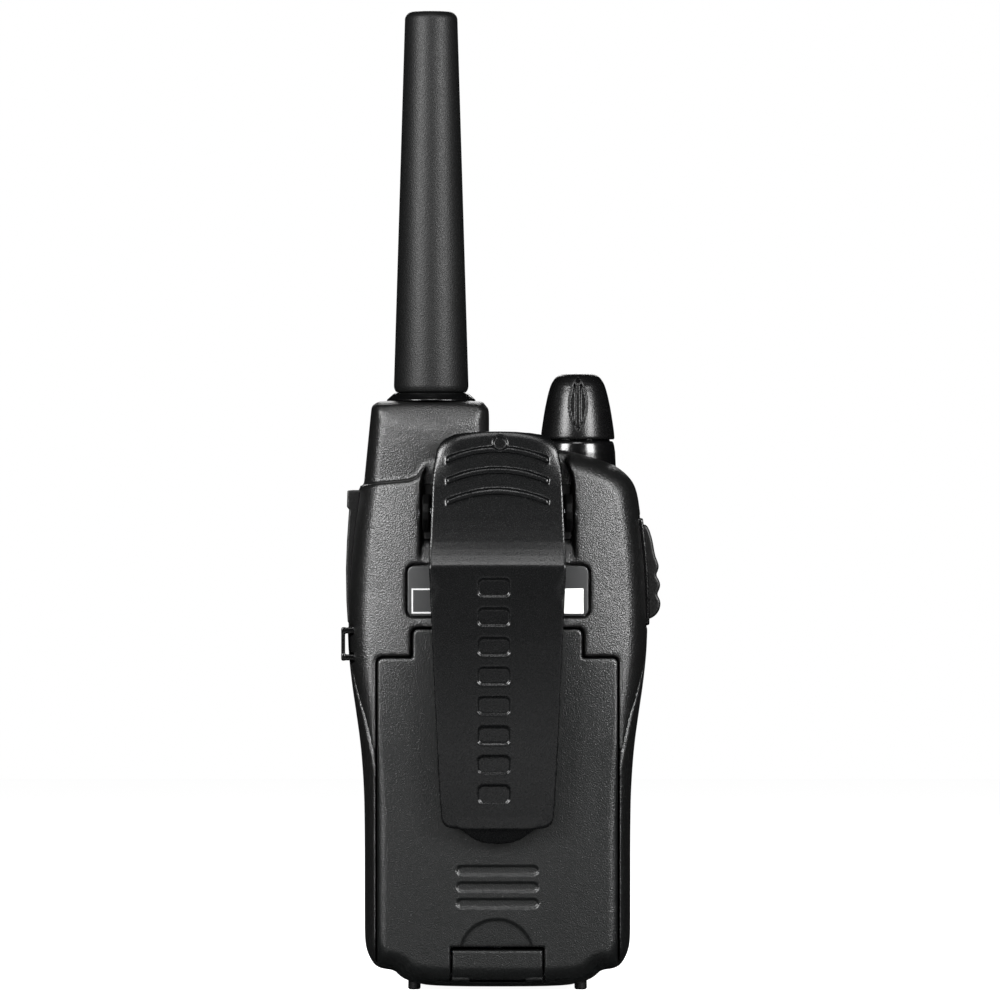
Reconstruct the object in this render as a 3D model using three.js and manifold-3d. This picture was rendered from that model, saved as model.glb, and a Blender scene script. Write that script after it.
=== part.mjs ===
// Handheld two-way radio with a rubber antenna, volume knob and belt clip, all sizes in millimetres.
// The part stands on its feet with +Z up: the display faces -Y, and the back with the clip faces +Y.

import * as THREE from 'three';
import Module from 'manifold-3d';
import { mergeVertices } from 'three/addons/utils/BufferGeometryUtils.js';

const wasm = await Module();
wasm.setup();

// ---------------------------------------------------------------- driving dimensions

const bodyWidth = 60.5;
const bodyDepth = 30.8;
const backFace = 12.4;
const wall = 2.2;
const gap = 0.3;
const edgeRound = 4.5;

const antennaX = 13.4;
const antennaBaseRadius = 7.55;
const antennaLength = 76.5;
const towerTop = 118.1;
const topAxisY = -4.5;

const knobX = -16.2;
const knobRadius = 7.45;
const knobTop = 123.8;
const knobBottom = 110.5;

const clipWidth = 27.4;
const clipThickness = 2.1;
const clipPinY = 12.0;
const clipPinZ = 96.0;

const coverTop = 66.7;
const coverTabTop = 72.5;
const coverThickness = 1.8;

const latchHalfWidth = 9.1;
const latchTop = 8.3;
const latchPinY = 9.3;
const latchPinZ = 3.0;
const latchPinRadius = 0.6;

const labelZ = 79.9;
const labelHeight = 10.2;

const speakerRadius = 17;
const speakerZ = 29;

// ---------------------------------------------------------------- values that follow from them

// The plain X values of the outlines below are drawn for this width, and follow bodyWidth from there.
const drawnWidth = 60.5;
const halfWidth = bodyWidth / 2;
const across = bodyWidth / drawnWidth;
const outward = (bodyWidth - drawnWidth) / 2;
const frontFace = backFace - bodyDepth;
const frontInner = frontFace + wall;
const clipHalf = clipWidth / 2;
const earInner = clipHalf;
const earOuter = earInner + 1.3;
const trenchHalf = earOuter + gap;
const towerBack = 6.5;
const towerFront = topAxisY - 11;

const coverHalf = halfWidth * 0.796;
const coverInner = backFace - coverThickness;
const coverLipFront = 7.3;

const tubHalf = coverHalf;
const tubWall = 1.4;
const tubFloorBack = -4.6;
const tubFloorFront = tubFloorBack - tubWall;
const tubRim = coverInner - 1.4;
const tubBottom = 6;
const tubTop = 65.6;

const cellRadius = Math.min((tubHalf - tubWall) / 3 - 1.5 * gap, (coverInner - tubFloorBack) / 2 - 0.6);
const cellPitch = 2 * cellRadius + 0.82;
const cellY = (coverInner + tubFloorBack) / 2;
const cellBottom = 14.2;
const cellTop = 63.2;

const boardFront = frontInner + 3.6;
const boardBack = boardFront + 1.6;
const boardTop = 101.7 - wall;

const knobRingRadius = knobRadius + 0.25;
const shaftRadius = 2.7;
const bushingRadius = shaftRadius + gap + 0.4;

const pttY = -2;
const pttHalfDepth = 5.5;
const pttBottom = 72.8;
const pttTop = 95;
const pttFrameInward = 1.6;
const pttRim = 0.9;

const flapY = [-8, 3.2];
const flapBottom = 73.2;
const flapTop = 100.3;
const flapRecess = 1.1;
const flapHingeX = halfWidth - 0.5;
const flapHingeZ = flapBottom + 0.7;

const jacks = [
  { name: 'speaker_mic_jack', y: -2.4, z: 93, radius: 3.6, bore: 1.6 },
  { name: 'charge_jack', y: -2.4, z: 82, radius: 3.2, bore: 1.2 },
];

const loopY = [3.7, 6.7];
const loopLegs = [[66.1, 67.3], [71.5, 72.7]];

const bezelWidth = 38;
const bezelHeight = 24;
const bezelZ = 89;
const keyColumns = [-14, 0, 14];
const keyRows = [69.5, 59.5];
const keyWidth = 11;
const keyHeight = 6.4;
const screwX = cellPitch / 2;
const screwLevels = [10.5, 50];
const screwRadius = 0.9;
const footRadius = 1.25;

const clipPinRadius = 0.7;
const coverTabHalf = coverHalf * 0.706;
const labelHalf = coverHalf * 0.748;

// Half width of the body at rising heights, as a share of the widest half width.
const sideStations = [
  [3.4, 0.760], [4.6, 0.808], [6.2, 0.848], [8.0, 0.872], [10, 0.882], [14, 0.883], [35, 0.883],
  [42, 0.891], [49, 0.909], [55.4, 0.939], [62, 0.972], [68, 0.993], [73, 0.999], [78, 1.0],
  [84, 0.992], [89, 0.978], [95, 0.954], [100.4, 0.929],
];

// Where the seam between the two casing halves runs, seen from the side, as [y, z] from low to high.
const seamLine = [
  [12.9, 33], [12.0, 37], [11.1, 46], [9.0, 55.4], [6.0, 62], [2.0, 68], [0, 72], [0, 130],
];

// Floor of the recess behind the belt clip, as [y, z] from low to high.
const trenchFloor = [
  [13.4, 85.4], [12.4, 86], [9.4, 90.5], [8.0, 95], [6.9, 103], [towerBack, 108], [towerBack, 125],
];

// Outer face of the belt clip seen from the side, as [y, z] from the top down.
const clipFace = [
  [12.6, 112.3], [13.4, 108], [14.3, 103.5], [15.3, 99], [16.6, 94], [18.3, 88.6], [19.2, 86.3],
  [19.6, 85.2], [19.55, 83], [18.9, 70], [17.8, 50], [16.6, 34],
];

// ---------------------------------------------------------------- general helpers

function lerpTable(table, at) {
  for (let i = 1; i < table.length; i += 1) {
    const [low, lowValue] = table[i - 1];
    const [high, highValue] = table[i];
    if (at <= high) {
      const share = Math.max(0, (at - low) / (high - low));
      return lowValue + share * (highValue - lowValue);
    }
  }
  return table[table.length - 1][1];
}

function sideAt(z) {
  return halfWidth * lerpTable(sideStations, z);
}

function toSolid(geometry) {
  const plain = geometry.clone();
  plain.deleteAttribute('normal');
  plain.deleteAttribute('uv');
  const merged = mergeVertices(plain, 1e-4);
  const positions = merged.attributes.position;
  const index = merged.index.array;
  const corner = [new THREE.Vector3(), new THREE.Vector3(), new THREE.Vector3()];
  const kept = [];
  let volume = 0;
  for (let i = 0; i < index.length; i += 3) {
    const [a, b, c] = [index[i], index[i + 1], index[i + 2]];
    if (a === b || b === c || c === a) continue;
    kept.push(a, b, c);
    corner[0].fromBufferAttribute(positions, a);
    corner[1].fromBufferAttribute(positions, b);
    corner[2].fromBufferAttribute(positions, c);
    volume += corner[0].dot(corner[1].cross(corner[2]));
  }
  if (volume < 0) {
    kept.reverse();
  }
  return new wasm.Manifold(new wasm.Mesh({
    numProp: 3,
    vertProperties: new Float32Array(positions.array),
    triVerts: new Uint32Array(kept),
  }));
}

function toGeometry(solid) {
  const mesh = solid.getMesh();
  const geometry = new THREE.BufferGeometry();
  geometry.setAttribute('position', new THREE.BufferAttribute(mesh.vertProperties, 3));
  geometry.setIndex(new THREE.BufferAttribute(mesh.triVerts, 1));
  const flat = geometry.toNonIndexed();
  flat.computeVertexNormals();
  return flat;
}

function shapeOf(points) {
  return new THREE.Shape(points.map(([x, y]) => new THREE.Vector2(x, y)));
}

function extrude(points, depth, bevel, segments) {
  return new THREE.ExtrudeGeometry(shapeOf(points), {
    depth: depth - 2 * bevel,
    bevelEnabled: bevel > 0,
    bevelThickness: bevel,
    bevelSize: bevel,
    bevelOffset: -bevel,
    bevelSegments: segments,
  }).translate(0, 0, bevel);
}

// An outline drawn in [x, z] and pushed from y0 to y1, with its edges rounded when bevel > 0.
function slabY(points, y0, y1, bevel = 0, segments = 3) {
  const geometry = extrude(points, y1 - y0, bevel, segments);
  return toSolid(geometry.rotateX(Math.PI / 2).translate(0, y1, 0));
}

// An outline drawn in [y, z] and pushed from x0 to x1.
function slabX(points, x0, x1, bevel = 0, segments = 2) {
  const geometry = extrude(points, x1 - x0, bevel, segments);
  const turn = new THREE.Matrix4().makeBasis(
    new THREE.Vector3(0, 1, 0), new THREE.Vector3(0, 0, 1), new THREE.Vector3(1, 0, 0));
  return toSolid(geometry.applyMatrix4(turn).translate(x0, 0, 0));
}

function box(x, y, z) {
  const geometry = new THREE.BoxGeometry(x[1] - x[0], y[1] - y[0], z[1] - z[0]);
  return toSolid(geometry.translate((x[0] + x[1]) / 2, (y[0] + y[1]) / 2, (z[0] + z[1]) / 2));
}

// A turned shape about a vertical axis through [x, y]; the profile is a list of [radius, z].
function turned(profile, [x, y], segments = 32) {
  const points = profile.map(([radius, z]) => new THREE.Vector2(radius, z));
  const geometry = new THREE.LatheGeometry(points, segments);
  return toSolid(geometry.rotateX(Math.PI / 2).translate(x, y, 0));
}

function rodZ(radius, [x, y], z0, z1, segments = 24) {
  return turned([[0, z0], [radius, z0], [radius, z1], [0, z1]], [x, y], segments);
}

function rodX(radius, [y, z], x0, x1, segments = 20) {
  const geometry = new THREE.CylinderGeometry(radius, radius, x1 - x0, segments);
  return toSolid(geometry.rotateZ(Math.PI / 2).translate((x0 + x1) / 2, y, z));
}

function rodY(radius, [x, z], y0, y1, segments = 20) {
  const geometry = new THREE.CylinderGeometry(radius, radius, y1 - y0, segments);
  return toSolid(geometry.translate(x, (y0 + y1) / 2, z));
}

function roundedRect(centre, width, height, radius, steps = 4) {
  const points = [];
  const inner = [width / 2 - radius, height / 2 - radius];
  for (let quarter = 0; quarter < 4; quarter += 1) {
    const side = [[1, 1], [-1, 1], [-1, -1], [1, -1]][quarter];
    for (let i = 0; i <= steps; i += 1) {
      const angle = (quarter + i / steps) * Math.PI / 2;
      points.push([
        centre[0] + side[0] * inner[0] + radius * Math.cos(angle),
        centre[1] + side[1] * inner[1] + radius * Math.sin(angle),
      ]);
    }
  }
  return points;
}

// Moves every edge of a closed counter-clockwise outline inwards by a distance.
function insetLoop(points, distance) {
  const count = points.length;
  return points.map((point, i) => {
    const before = new THREE.Vector2(...points[(i + count - 1) % count]);
    const here = new THREE.Vector2(...point);
    const after = new THREE.Vector2(...points[(i + 1) % count]);
    const arrive = here.clone().sub(before).normalize();
    const leave = after.sub(here).normalize();
    const normal = new THREE.Vector2(-arrive.y - leave.y, arrive.x + leave.x).normalize();
    const reach = distance / Math.max(0.5, normal.dot(new THREE.Vector2(-arrive.y, arrive.x)));
    return [here.x + normal.x * reach, here.y + normal.y * reach];
  });
}

function springPath(turns, steps, place) {
  const points = [];
  for (let i = 0; i <= turns * steps; i += 1) {
    points.push(place(i / (turns * steps), (i / steps) * 2 * Math.PI));
  }
  return new THREE.CatmullRomCurve3(points);
}

function wire(path, radius, steps) {
  const section = [];
  for (let i = 0; i < 5; i += 1) {
    const angle = (i / 5) * 2 * Math.PI;
    section.push([radius * Math.cos(angle), radius * Math.sin(angle)]);
  }
  return toSolid(new THREE.ExtrudeGeometry(shapeOf(section), { steps, extrudePath: path }));
}

function mirrored(make) {
  return make(1).add(make(-1));
}

// The stretch from near to far on the +X side, or its mirror image on the -X side.
function spanX(side, near, far) {
  return side > 0 ? [near, far] : [-far, -near];
}

// ---------------------------------------------------------------- outline of the body

function bodyOutline() {
  const right = sideStations.map(([z, share]) => [halfWidth * share, z]);
  const left = right.map(([x, z]) => [-x, z]).reverse();
  const bottomRight = [[0, 0.5], [10, 0.7], [17.6, 1.2], [20.8, 2.2]];
  const bottomLeft = [[-20.8, 2.2], [-17.6, 1.2], [-10, 0.7]];
  const shoulderRight = [
    [22 * across, 101.9], [trenchHalf + 2.6, 102.4], [trenchHalf + 0.9, 103.8],
    [trenchHalf - 0.4, 109.0],
  ];
  const shoulderLeft = [[1, 109.3], [-13.4, 108.6], [-19, 107.2], [-23.9, 105.2], [-26.6, 103.0]];
  const scale = ([x, z]) => [x * across, z];
  return [
    ...bottomRight.map(scale),
    ...right,
    ...shoulderRight,
    ...shoulderLeft.map(scale),
    ...left,
    ...bottomLeft.map(scale),
  ];
}

function bodyShell(inset, bevelSegments) {
  return slabY(insetLoop(bodyOutline(), inset), frontFace + inset, backFace - inset,
    edgeRound - inset, bevelSegments);
}

function tower() {
  const leftX = antennaX - 11.7;
  const rightX = antennaX + 11.7;
  const outline = [
    [leftX, 98], [rightX + 2.1, 98], [rightX + 1.9, 101], [rightX + 0.4, 116.2],
    [rightX - 0.9, 117.7], [rightX - 2.2, towerTop], [leftX + 1.8, towerTop], [leftX + 0.4, 117.4],
    [leftX, 116],
  ];
  const chamfer = slabX([[5.0, towerTop + 0.5], [5.15, towerTop], [towerBack, 113.6],
    [towerBack + 5, 113.6], [towerBack + 5, towerTop + 0.5]], leftX - 5, rightX + 5);
  return slabY(outline, towerFront, towerBack, 1.6, 2).subtract(chamfer);
}

function trench() {
  return slabX([...trenchFloor, [30, 125], [30, 85.4]], -trenchHalf, trenchHalf);
}

function cavity() {
  const reach = slabX([
    [-40, 0], [40, 0], [40, 67.8], [backFace - 4.4, 67.8], [backFace - 4.4, 84],
    [5.6, 93], [4.6, 101], [-40, 101],
  ], -50, 50);
  return bodyShell(wall, 1).intersect(reach);
}

// ---------------------------------------------------------------- openings shared by both casings

function pttOpening() {
  return box([-50, -halfWidth + 8], [pttY - pttHalfDepth, pttY + pttHalfDepth], [pttBottom, pttTop]);
}

function sideStrip(z0, z1, outward, inward) {
  const levels = [z0, ...sideStations.map(([z]) => z).filter((z) => z > z0 && z < z1), z1];
  const outer = levels.map((z) => [sideAt(z) + outward, z]);
  const inner = levels.map((z) => [sideAt(z) - inward, z]).reverse();
  return [...outer, ...inner];
}

function flapOpening() {
  const recess = sideStrip(flapBottom - gap, flapTop + gap, 6, flapRecess);
  let cut = slabY(recess, flapY[0] - gap, flapY[1] + gap);
  for (const jack of jacks) {
    cut = cut.add(rodX(jack.radius + gap, [jack.y, jack.z], halfWidth - 12, halfWidth + 2));
  }
  return cut;
}

function loopSlots() {
  let cut = null;
  for (const [low, high] of loopLegs) {
    const slot = box([sideAt(low) - 2.6, sideAt(low) + 5], [loopY[0] - gap, loopY[1] + gap],
      [low - gap, high + gap]);
    cut = cut ? cut.add(slot) : slot;
  }
  return cut;
}

function topOpenings() {
  const knobPocket = rodZ(knobRingRadius + gap, [knobX, topAxisY], 103, 130, 32);
  const bushingHole = rodZ(bushingRadius + gap, [knobX, topAxisY], 95, 105);
  const antennaHole = rodZ(5.3, [antennaX, topAxisY], 95, 130);
  return knobPocket.add(bushingHole).add(antennaHole);
}

function coverOpening() {
  const half = coverHalf + gap;
  const main = box([-half, half], [coverLipFront - gap, 30], [-5, coverTop + gap]);
  const tabHalf = coverTabHalf + gap;
  const tab = box([-tabHalf, tabHalf], [coverInner - gap, 30], [coverTop - 1, coverTabTop + gap]);
  return main.add(tab);
}

function seamRegion(shift, towardBack) {
  const line = seamLine.map(([y, z]) => [y + shift, z]);
  const low = seamLine[0][1];
  const around = towardBack
    ? [[60, 130], [60, low]]
    : [[-60, 130], [-60, -20], [60, -20], [60, low]];
  return slabX([...line, ...around], -60, 60);
}

function casingBlank() {
  return bodyShell(0, 3).add(tower())
    .subtract(trench())
    .subtract(cavity())
    .subtract(coverOpening())
    .subtract(topOpenings())
    .subtract(pttOpening())
    .subtract(flapOpening());
}

const blank = casingBlank();

// ---------------------------------------------------------------- casings

function grilleSlots() {
  let cut = null;
  for (let i = -3; i <= 3; i += 1) {
    const z = speakerZ + i * 4;
    const length = 2 * Math.sqrt(15.5 ** 2 - (i * 4) ** 2);
    const slot = slabY(roundedRect([0, z], length, 1.5, 0.7, 2), frontFace - 2, frontInner + 1);
    cut = cut ? cut.add(slot) : slot;
  }
  return cut;
}

function displayOpening() {
  const seat = slabY(roundedRect([0, bezelZ], bezelWidth + 2 * gap, bezelHeight + 2 * gap, 3.3),
    frontFace - 3, frontFace + 1);
  const window = box([-bezelWidth / 2 + 4, bezelWidth / 2 - 4], [frontFace - 3, frontInner + 1],
    [bezelZ - bezelHeight / 2 + 4, bezelZ + bezelHeight / 2 - 4]);
  return seat.add(window);
}

function keyHoles() {
  let cut = null;
  for (const z of keyRows) {
    for (const x of keyColumns) {
      const hole = slabY(roundedRect([x, z], keyWidth + 2 * gap, keyHeight + 2 * gap, 2.9),
        frontFace - 2, frontInner + 1);
      cut = cut ? cut.add(hole) : hole;
    }
  }
  return cut;
}

function footPlaces() {
  const side = 16.7 * across;
  return [[side, 4.4], [-side, 4.4], [side, frontFace + 6], [-side, frontFace + 6]];
}

function screwPlaces() {
  return screwLevels.flatMap((z) => [[screwX, z], [-screwX, z]]);
}

function frontCasing() {
  let solid = blank.intersect(seamRegion(-gap / 2, false));
  solid = solid.subtract(grilleSlots()).subtract(displayOpening()).subtract(keyHoles());
  solid = solid.subtract(rodY(0.8, [18, 50], frontFace - 2, frontInner + 1, 12));
  for (const spot of footPlaces()) {
    solid = solid.subtract(rodZ(footRadius + gap, spot, -2, 2.3, 16));
  }
  for (const spot of screwPlaces()) {
    const boss = rodY(2.4, spot, frontInner - 0.6, tubFloorFront - gap);
    const pilot = rodY(screwRadius + gap, spot, frontInner + 2, tubFloorFront + 1, 16);
    solid = solid.add(boss).subtract(pilot);
  }
  return solid;
}

function batteryTub() {
  const inner = tubHalf - tubWall;
  const outside = box([-tubHalf, tubHalf], [tubFloorFront, tubRim], [tubBottom, tubTop + wall]);
  const inside = box([-inner, inner], [tubFloorBack, 40], [tubBottom + tubWall, tubTop]);
  const allowed = slabY(insetLoop(bodyOutline(), wall + gap), -60, 60);
  const yoke = box([-halfWidth + 2.5, halfWidth - 2.5], [0.6, tubRim], [tubTop, tubTop + wall + 0.6]);
  const joined = yoke.intersect(bodyShell(1, 2)).intersect(seamRegion(gap / 2, true));
  return outside.subtract(inside).intersect(allowed).add(joined);
}

function rearCasing() {
  let solid = blank.intersect(seamRegion(gap / 2, true)).add(batteryTub());
  solid = solid.subtract(slabY(labelOutline(gap), backFace - 1.0, 30)).subtract(trench());
  solid = solid.subtract(box([-trenchHalf + 4, trenchHalf - 4], [backFace - 1, 30], [84.2, 88]));
  for (const spot of screwPlaces()) {
    solid = solid.subtract(rodY(screwRadius + gap, spot, tubFloorFront - 1, tubFloorBack + 1, 16));
  }
  return solid.subtract(loopSlots());
}

function labelOutline(grow) {
  return roundedRect([0, labelZ], 2 * (labelHalf + grow), labelHeight + 2 * grow, 1.2 + grow);
}

function labelPlate() {
  return slabY(labelOutline(0), backFace - 0.7, backFace - 0.3);
}

// ---------------------------------------------------------------- battery cover and its latch

function coverOutline() {
  const half = coverHalf;
  const tab = coverTabHalf;
  const corner = 1.2;
  return [
    [-half, -1], [half, -1], [half, coverTop - corner], [half - corner, coverTop],
    [tab, coverTop], [tab, coverTabTop - corner], [tab - corner, coverTabTop],
    [-tab + corner, coverTabTop], [-tab, coverTabTop - corner], [-tab, coverTop],
    [-half + corner, coverTop], [-half, coverTop - corner],
  ];
}

function coverSkin() {
  return bodyShell(0, 3).subtract(bodyShell(coverThickness, 2));
}

function batteryCover() {
  let solid = slabY(coverOutline(), coverLipFront, 30).intersect(coverSkin());
  const notch = latchHalfWidth + gap;
  solid = solid.subtract(box([-notch, notch], [0, 30], [-5, latchTop + gap]));
  const fingerRecess = rodY(7.35, [0.2, latchTop - 1.35], backFace - 1.0, 30, 32);
  solid = solid.subtract(fingerRecess);
  const cheeks = mirrored((side) => box(spanX(side, notch, notch + 1.6),
    [latchPinY - 1.3, coverInner + 0.6], [latchPinZ - 1.0, latchPinZ + 1.6]));
  solid = solid.add(cheeks.intersect(bodyShell(0.8, 2)));
  const pinHole = rodX(latchPinRadius + gap, [latchPinY, latchPinZ], -notch - 3, notch + 3, 16);
  solid = solid.subtract(pinHole);
  for (let i = 0; i < 3; i += 1) {
    const outline = roundedRect([0, 17.6 + 3.3 * i], 16, 1.5, 0.7, 3);
    solid = solid.subtract(slabY(outline, backFace - 0.3, 30));
  }
  return solid;
}

function batteryLatch() {
  const plate = slabY([
    [-latchHalfWidth, 1.2], [latchHalfWidth, 1.2], [latchHalfWidth, latchTop],
    [-latchHalfWidth, latchTop],
  ], coverLipFront + 0.5, 30);
  let solid = plate.intersect(coverSkin());
  solid = solid.subtract(rodX(1.3, [latchPinY, latchPinZ], -latchHalfWidth + 1, latchHalfWidth - 1));
  solid = solid.add(mirrored((side) => {
    const ends = spanX(side, latchHalfWidth - 3.5, latchHalfWidth);
    const knuckle = rodX(1.25, [latchPinY, latchPinZ], ...ends);
    const web = box(ends, [latchPinY, coverInner + 0.6], [latchPinZ - 0.9, latchPinZ + 0.9]);
    return knuckle.add(web);
  }));
  return solid.subtract(rodX(latchPinRadius + gap, [latchPinY, latchPinZ], -20, 20, 16));
}

function latchPin() {
  const reach = latchHalfWidth + gap + 1.3;
  return rodX(latchPinRadius, [latchPinY, latchPinZ], -reach, reach, 12);
}

// ---------------------------------------------------------------- antenna

function antennaSleeve() {
  const bottom = 120.4;
  const top = bottom + antennaLength;
  const tip = antennaBaseRadius * 0.702;
  return turned([
    [1.5, bottom], [antennaBaseRadius - 0.5, bottom], [antennaBaseRadius, bottom + 0.6],
    [tip, top - 1.1], [tip - 0.35, top - 0.35], [tip - 1.2, top], [0, top], [0, top - 7],
    [1.5, top - 7], [1.5, bottom],
  ], [antennaX, topAxisY], 32);
}

function antennaCollar() {
  return turned([
    [1.5, 106], [5, 106], [5, towerTop + 0.2], [9.0, towerTop + 0.2], [8.9, towerTop + 0.5],
    [7.5, towerTop + 1.7], [6.9, towerTop + 2.0], [1.5, towerTop + 2.0], [1.5, 106],
  ], [antennaX, topAxisY], 28);
}

function antennaCore() {
  return rodZ(1.2, [antennaX, topAxisY], 104, 120.4 + antennaLength - 7.4, 12);
}

// ---------------------------------------------------------------- volume control

function volumeKnob() {
  const radius = knobRadius;
  const bore = shaftRadius + gap;
  const body = turned([
    [bore, knobBottom], [radius - 0.3, knobBottom], [radius, knobBottom + 0.5],
    [radius * 0.975, knobBottom + 2.2], [radius * 0.90, 116.4], [radius * 0.81, 119.4],
    [radius * 0.725, 121.4], [radius * 0.645, 122.8], [radius * 0.53, 123.6],
    [radius * 0.40, knobTop], [0, knobTop], [0, knobTop - 2.5], [bore, knobTop - 2.5],
    [bore, knobBottom],
  ], [knobX, topAxisY], 30);
  let solid = body;
  for (let i = 0; i < 3; i += 1) {
    const angle = Math.PI / 2 + (i * 2 * Math.PI) / 3;
    const flute = new THREE.SphereGeometry(1, 12, 8).scale(1.65, 1.05, 5.8);
    flute.rotateX(0.2).translate(0, radius * 0.9 + 0.35, knobBottom + 7.3);
    flute.rotateZ(angle - Math.PI / 2).translate(knobX, topAxisY, 0);
    solid = solid.subtract(toSolid(flute));
  }
  return solid;
}

function volumeShaft() {
  return rodZ(shaftRadius, [knobX, topAxisY], 95.3, knobTop - 2.8, 24);
}

function volumePotentiometer() {
  const can = box([knobX - 5.5, knobX + 5.5], [topAxisY - 4.5, topAxisY + 4.5], [93, 100.6]);
  const bushing = rodZ(bushingRadius, [knobX, topAxisY], 100, 109);
  return can.add(bushing).subtract(rodZ(shaftRadius + gap, [knobX, topAxisY], 95, 112));
}

function knobBaseRing() {
  const bore = bushingRadius + gap;
  const radius = knobRingRadius;
  return turned([
    [bore, 103.3], [radius, 103.3], [radius, 105.2], [radius - 0.12, 108], [radius - 0.45, 109.8],
    [radius - 0.75, 110.2], [bore, 110.2], [bore, 103.3],
  ], [knobX, topAxisY], 28);
}

// ---------------------------------------------------------------- push-to-talk button

function pttFrame() {
  const y = [pttY - pttHalfDepth + gap, pttY + pttHalfDepth - gap];
  const strip = sideStrip(pttBottom + gap, pttTop - gap, 0.35, pttFrameInward);
  const outside = slabY(strip, y[0], y[1]);
  const inside = box([halfWidth - 12, halfWidth + 6], [y[0] + pttRim, y[1] - pttRim],
    [pttBottom + gap + pttRim, pttTop - gap - pttRim]);
  return outside.subtract(inside).mirror([1, 0, 0]);
}

function pttButton() {
  const low = pttBottom + 2 * gap + pttRim;
  const high = pttTop - 2 * gap - pttRim;
  const y = [pttY - pttHalfDepth + 2 * gap + pttRim, pttY + pttHalfDepth - 2 * gap - pttRim];
  const flangeFace = sideAt(pttTop) - pttFrameInward - gap;
  const face = [
    [30.4, low], [31.8, low + 0.7], [32.5, low + 1.8], [32.75, low + 2.9], [32.6, low + 3.8],
    [32.1, low + 4.9], [32.5, low + 6.0], [32.65, low + 6.8], [32.45, low + 7.7],
    [31.9, low + 8.8], [32.25, low + 9.8], [32.35, low + 10.6], [32.1, low + 11.6],
    [31.7, low + 12.8], [31.2, low + 16], [30.4, high - 0.9], [29.9, high],
  ].map(([x, z]) => [x + outward, z]);
  const profile = [...face, [flangeFace - 0.5, high], [flangeFace - 0.5, low]];
  const button = slabY(profile, y[0], y[1], 0);
  const flange = box([flangeFace - 0.9, flangeFace], [y[0] - 0.7, y[1] + 0.7], [low - 0.8, high + 0.6]);
  return button.add(flange).mirror([1, 0, 0]);
}

function pttSwitch() {
  const face = sideAt(pttTop) - pttFrameInward - gap - 0.9 - 1.5;
  const housing = box([-face, -face + 4], [pttY - 3, pttY + 3], [80, 88]);
  const leg = box([-face + 1, -face + 3], [boardBack + gap, pttY - 2], [81, 87]);
  return housing.add(leg);
}

// ---------------------------------------------------------------- side jacks, rubber flap, lanyard bar

function jackBarrel(jack) {
  const outer = sideAt(jack.z) - flapRecess - gap;
  const barrel = rodX(jack.radius, [jack.y, jack.z], outer - 6, outer);
  const block = box([outer - 9, outer - 4], [boardBack + gap, jack.y + 3], [jack.z - 3, jack.z + 3]);
  return barrel.add(block).subtract(rodX(jack.bore, [jack.y, jack.z], outer - 7.5, outer + 2, 16));
}

function jackCover() {
  const outer = [
    [30.15, flapHingeZ], [30.4, 78], [30.5, 84.4], [30.3, 90], [29.95, 95.5], [29.8, 96.8],
    [30.15, 97.6], [30.1, 98.6], [29.7, 99.8], [29.2, flapTop],
  ].map(([x, z]) => [x + outward, z]);
  const inward = flapRecess - gap;
  const innerLevels = [flapTop, 95, 89, 84, 78, flapHingeZ];
  const inner = innerLevels.map((z) => [sideAt(z) - inward, z]);
  inner[inner.length - 1][0] = flapHingeX - 0.35;
  const foot = [[flapHingeX - 0.25, flapHingeZ - 0.35], [flapHingeX + 0.2, flapHingeZ - 0.4]];
  return slabY([...outer, ...inner, ...foot], flapY[0], flapY[1]);
}

function lanyardLoop() {
  const x = sideAt(69) + 1.3;
  const bar = box([x - 0.75, x], loopY, [loopLegs[0][0], loopLegs[1][1]]);
  let solid = bar;
  for (const [low, high] of loopLegs) {
    solid = solid.add(box([sideAt(low) - 2.2, x - 0.1], loopY, [low, high]));
  }
  return solid;
}

// ---------------------------------------------------------------- display and keys

function displayBezel() {
  const outside = slabY(roundedRect([0, bezelZ], bezelWidth, bezelHeight, 3), frontFace - 1.2,
    frontFace + 0.7, 0.5, 2);
  const inside = box([-bezelWidth / 2 + 3, bezelWidth / 2 - 3], [frontFace - 4, frontFace + 4],
    [bezelZ - bezelHeight / 2 + 3, bezelZ + bezelHeight / 2 - 3]);
  return outside.subtract(inside);
}

function displayLens() {
  const half = [bezelWidth / 2 - 3 - gap, bezelHeight / 2 - 3 - gap];
  return box([-half[0], half[0]], [frontFace - 0.8, frontFace + 0.7],
    [bezelZ - half[1], bezelZ + half[1]]);
}

function displayModule() {
  return box([-bezelWidth / 2 + 1, bezelWidth / 2 - 1], [frontInner + gap, boardFront - gap],
    [bezelZ - bezelHeight / 2 + 1, bezelZ + bezelHeight / 2 - 3]);
}

function keyCap(x, z) {
  const cap = slabY(roundedRect([x, z], keyWidth, keyHeight, 2.6), frontFace - 1.0,
    frontInner + 0.8, 0.5, 2);
  const flange = slabY(roundedRect([x, z], keyWidth + 1.4, keyHeight + 1.4, 3), frontInner + gap,
    frontInner + gap + 0.7);
  return cap.add(flange);
}

function keypadMembrane() {
  const sheetFront = boardFront - gap - 0.8;
  let solid = box([-21, 21], [sheetFront, boardFront - gap], [54.5, 74.5]);
  for (const z of keyRows) {
    for (const x of keyColumns) {
      solid = solid.add(rodY(2.2, [x, z], sheetFront - 0.4, sheetFront + 0.2, 10));
    }
  }
  return solid;
}

function mainBoard() {
  const half = sideAt(boardTop) - wall - 4.03;
  const corner = 1.5;
  return slabY([
    [-half, 53], [half, 53], [half, boardTop - corner], [half - corner, boardTop],
    [-half + corner, boardTop], [-half, boardTop - corner],
  ], boardFront, boardBack);
}

function shieldCan() {
  const outside = box([-12, 12], [boardBack + gap, boardBack + 3.6], [72, 92]);
  const inside = box([-11.4, 11.4], [boardBack, boardBack + 3], [72.6, 91.4]);
  return outside.subtract(inside);
}

// ---------------------------------------------------------------- speaker and microphone

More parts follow.
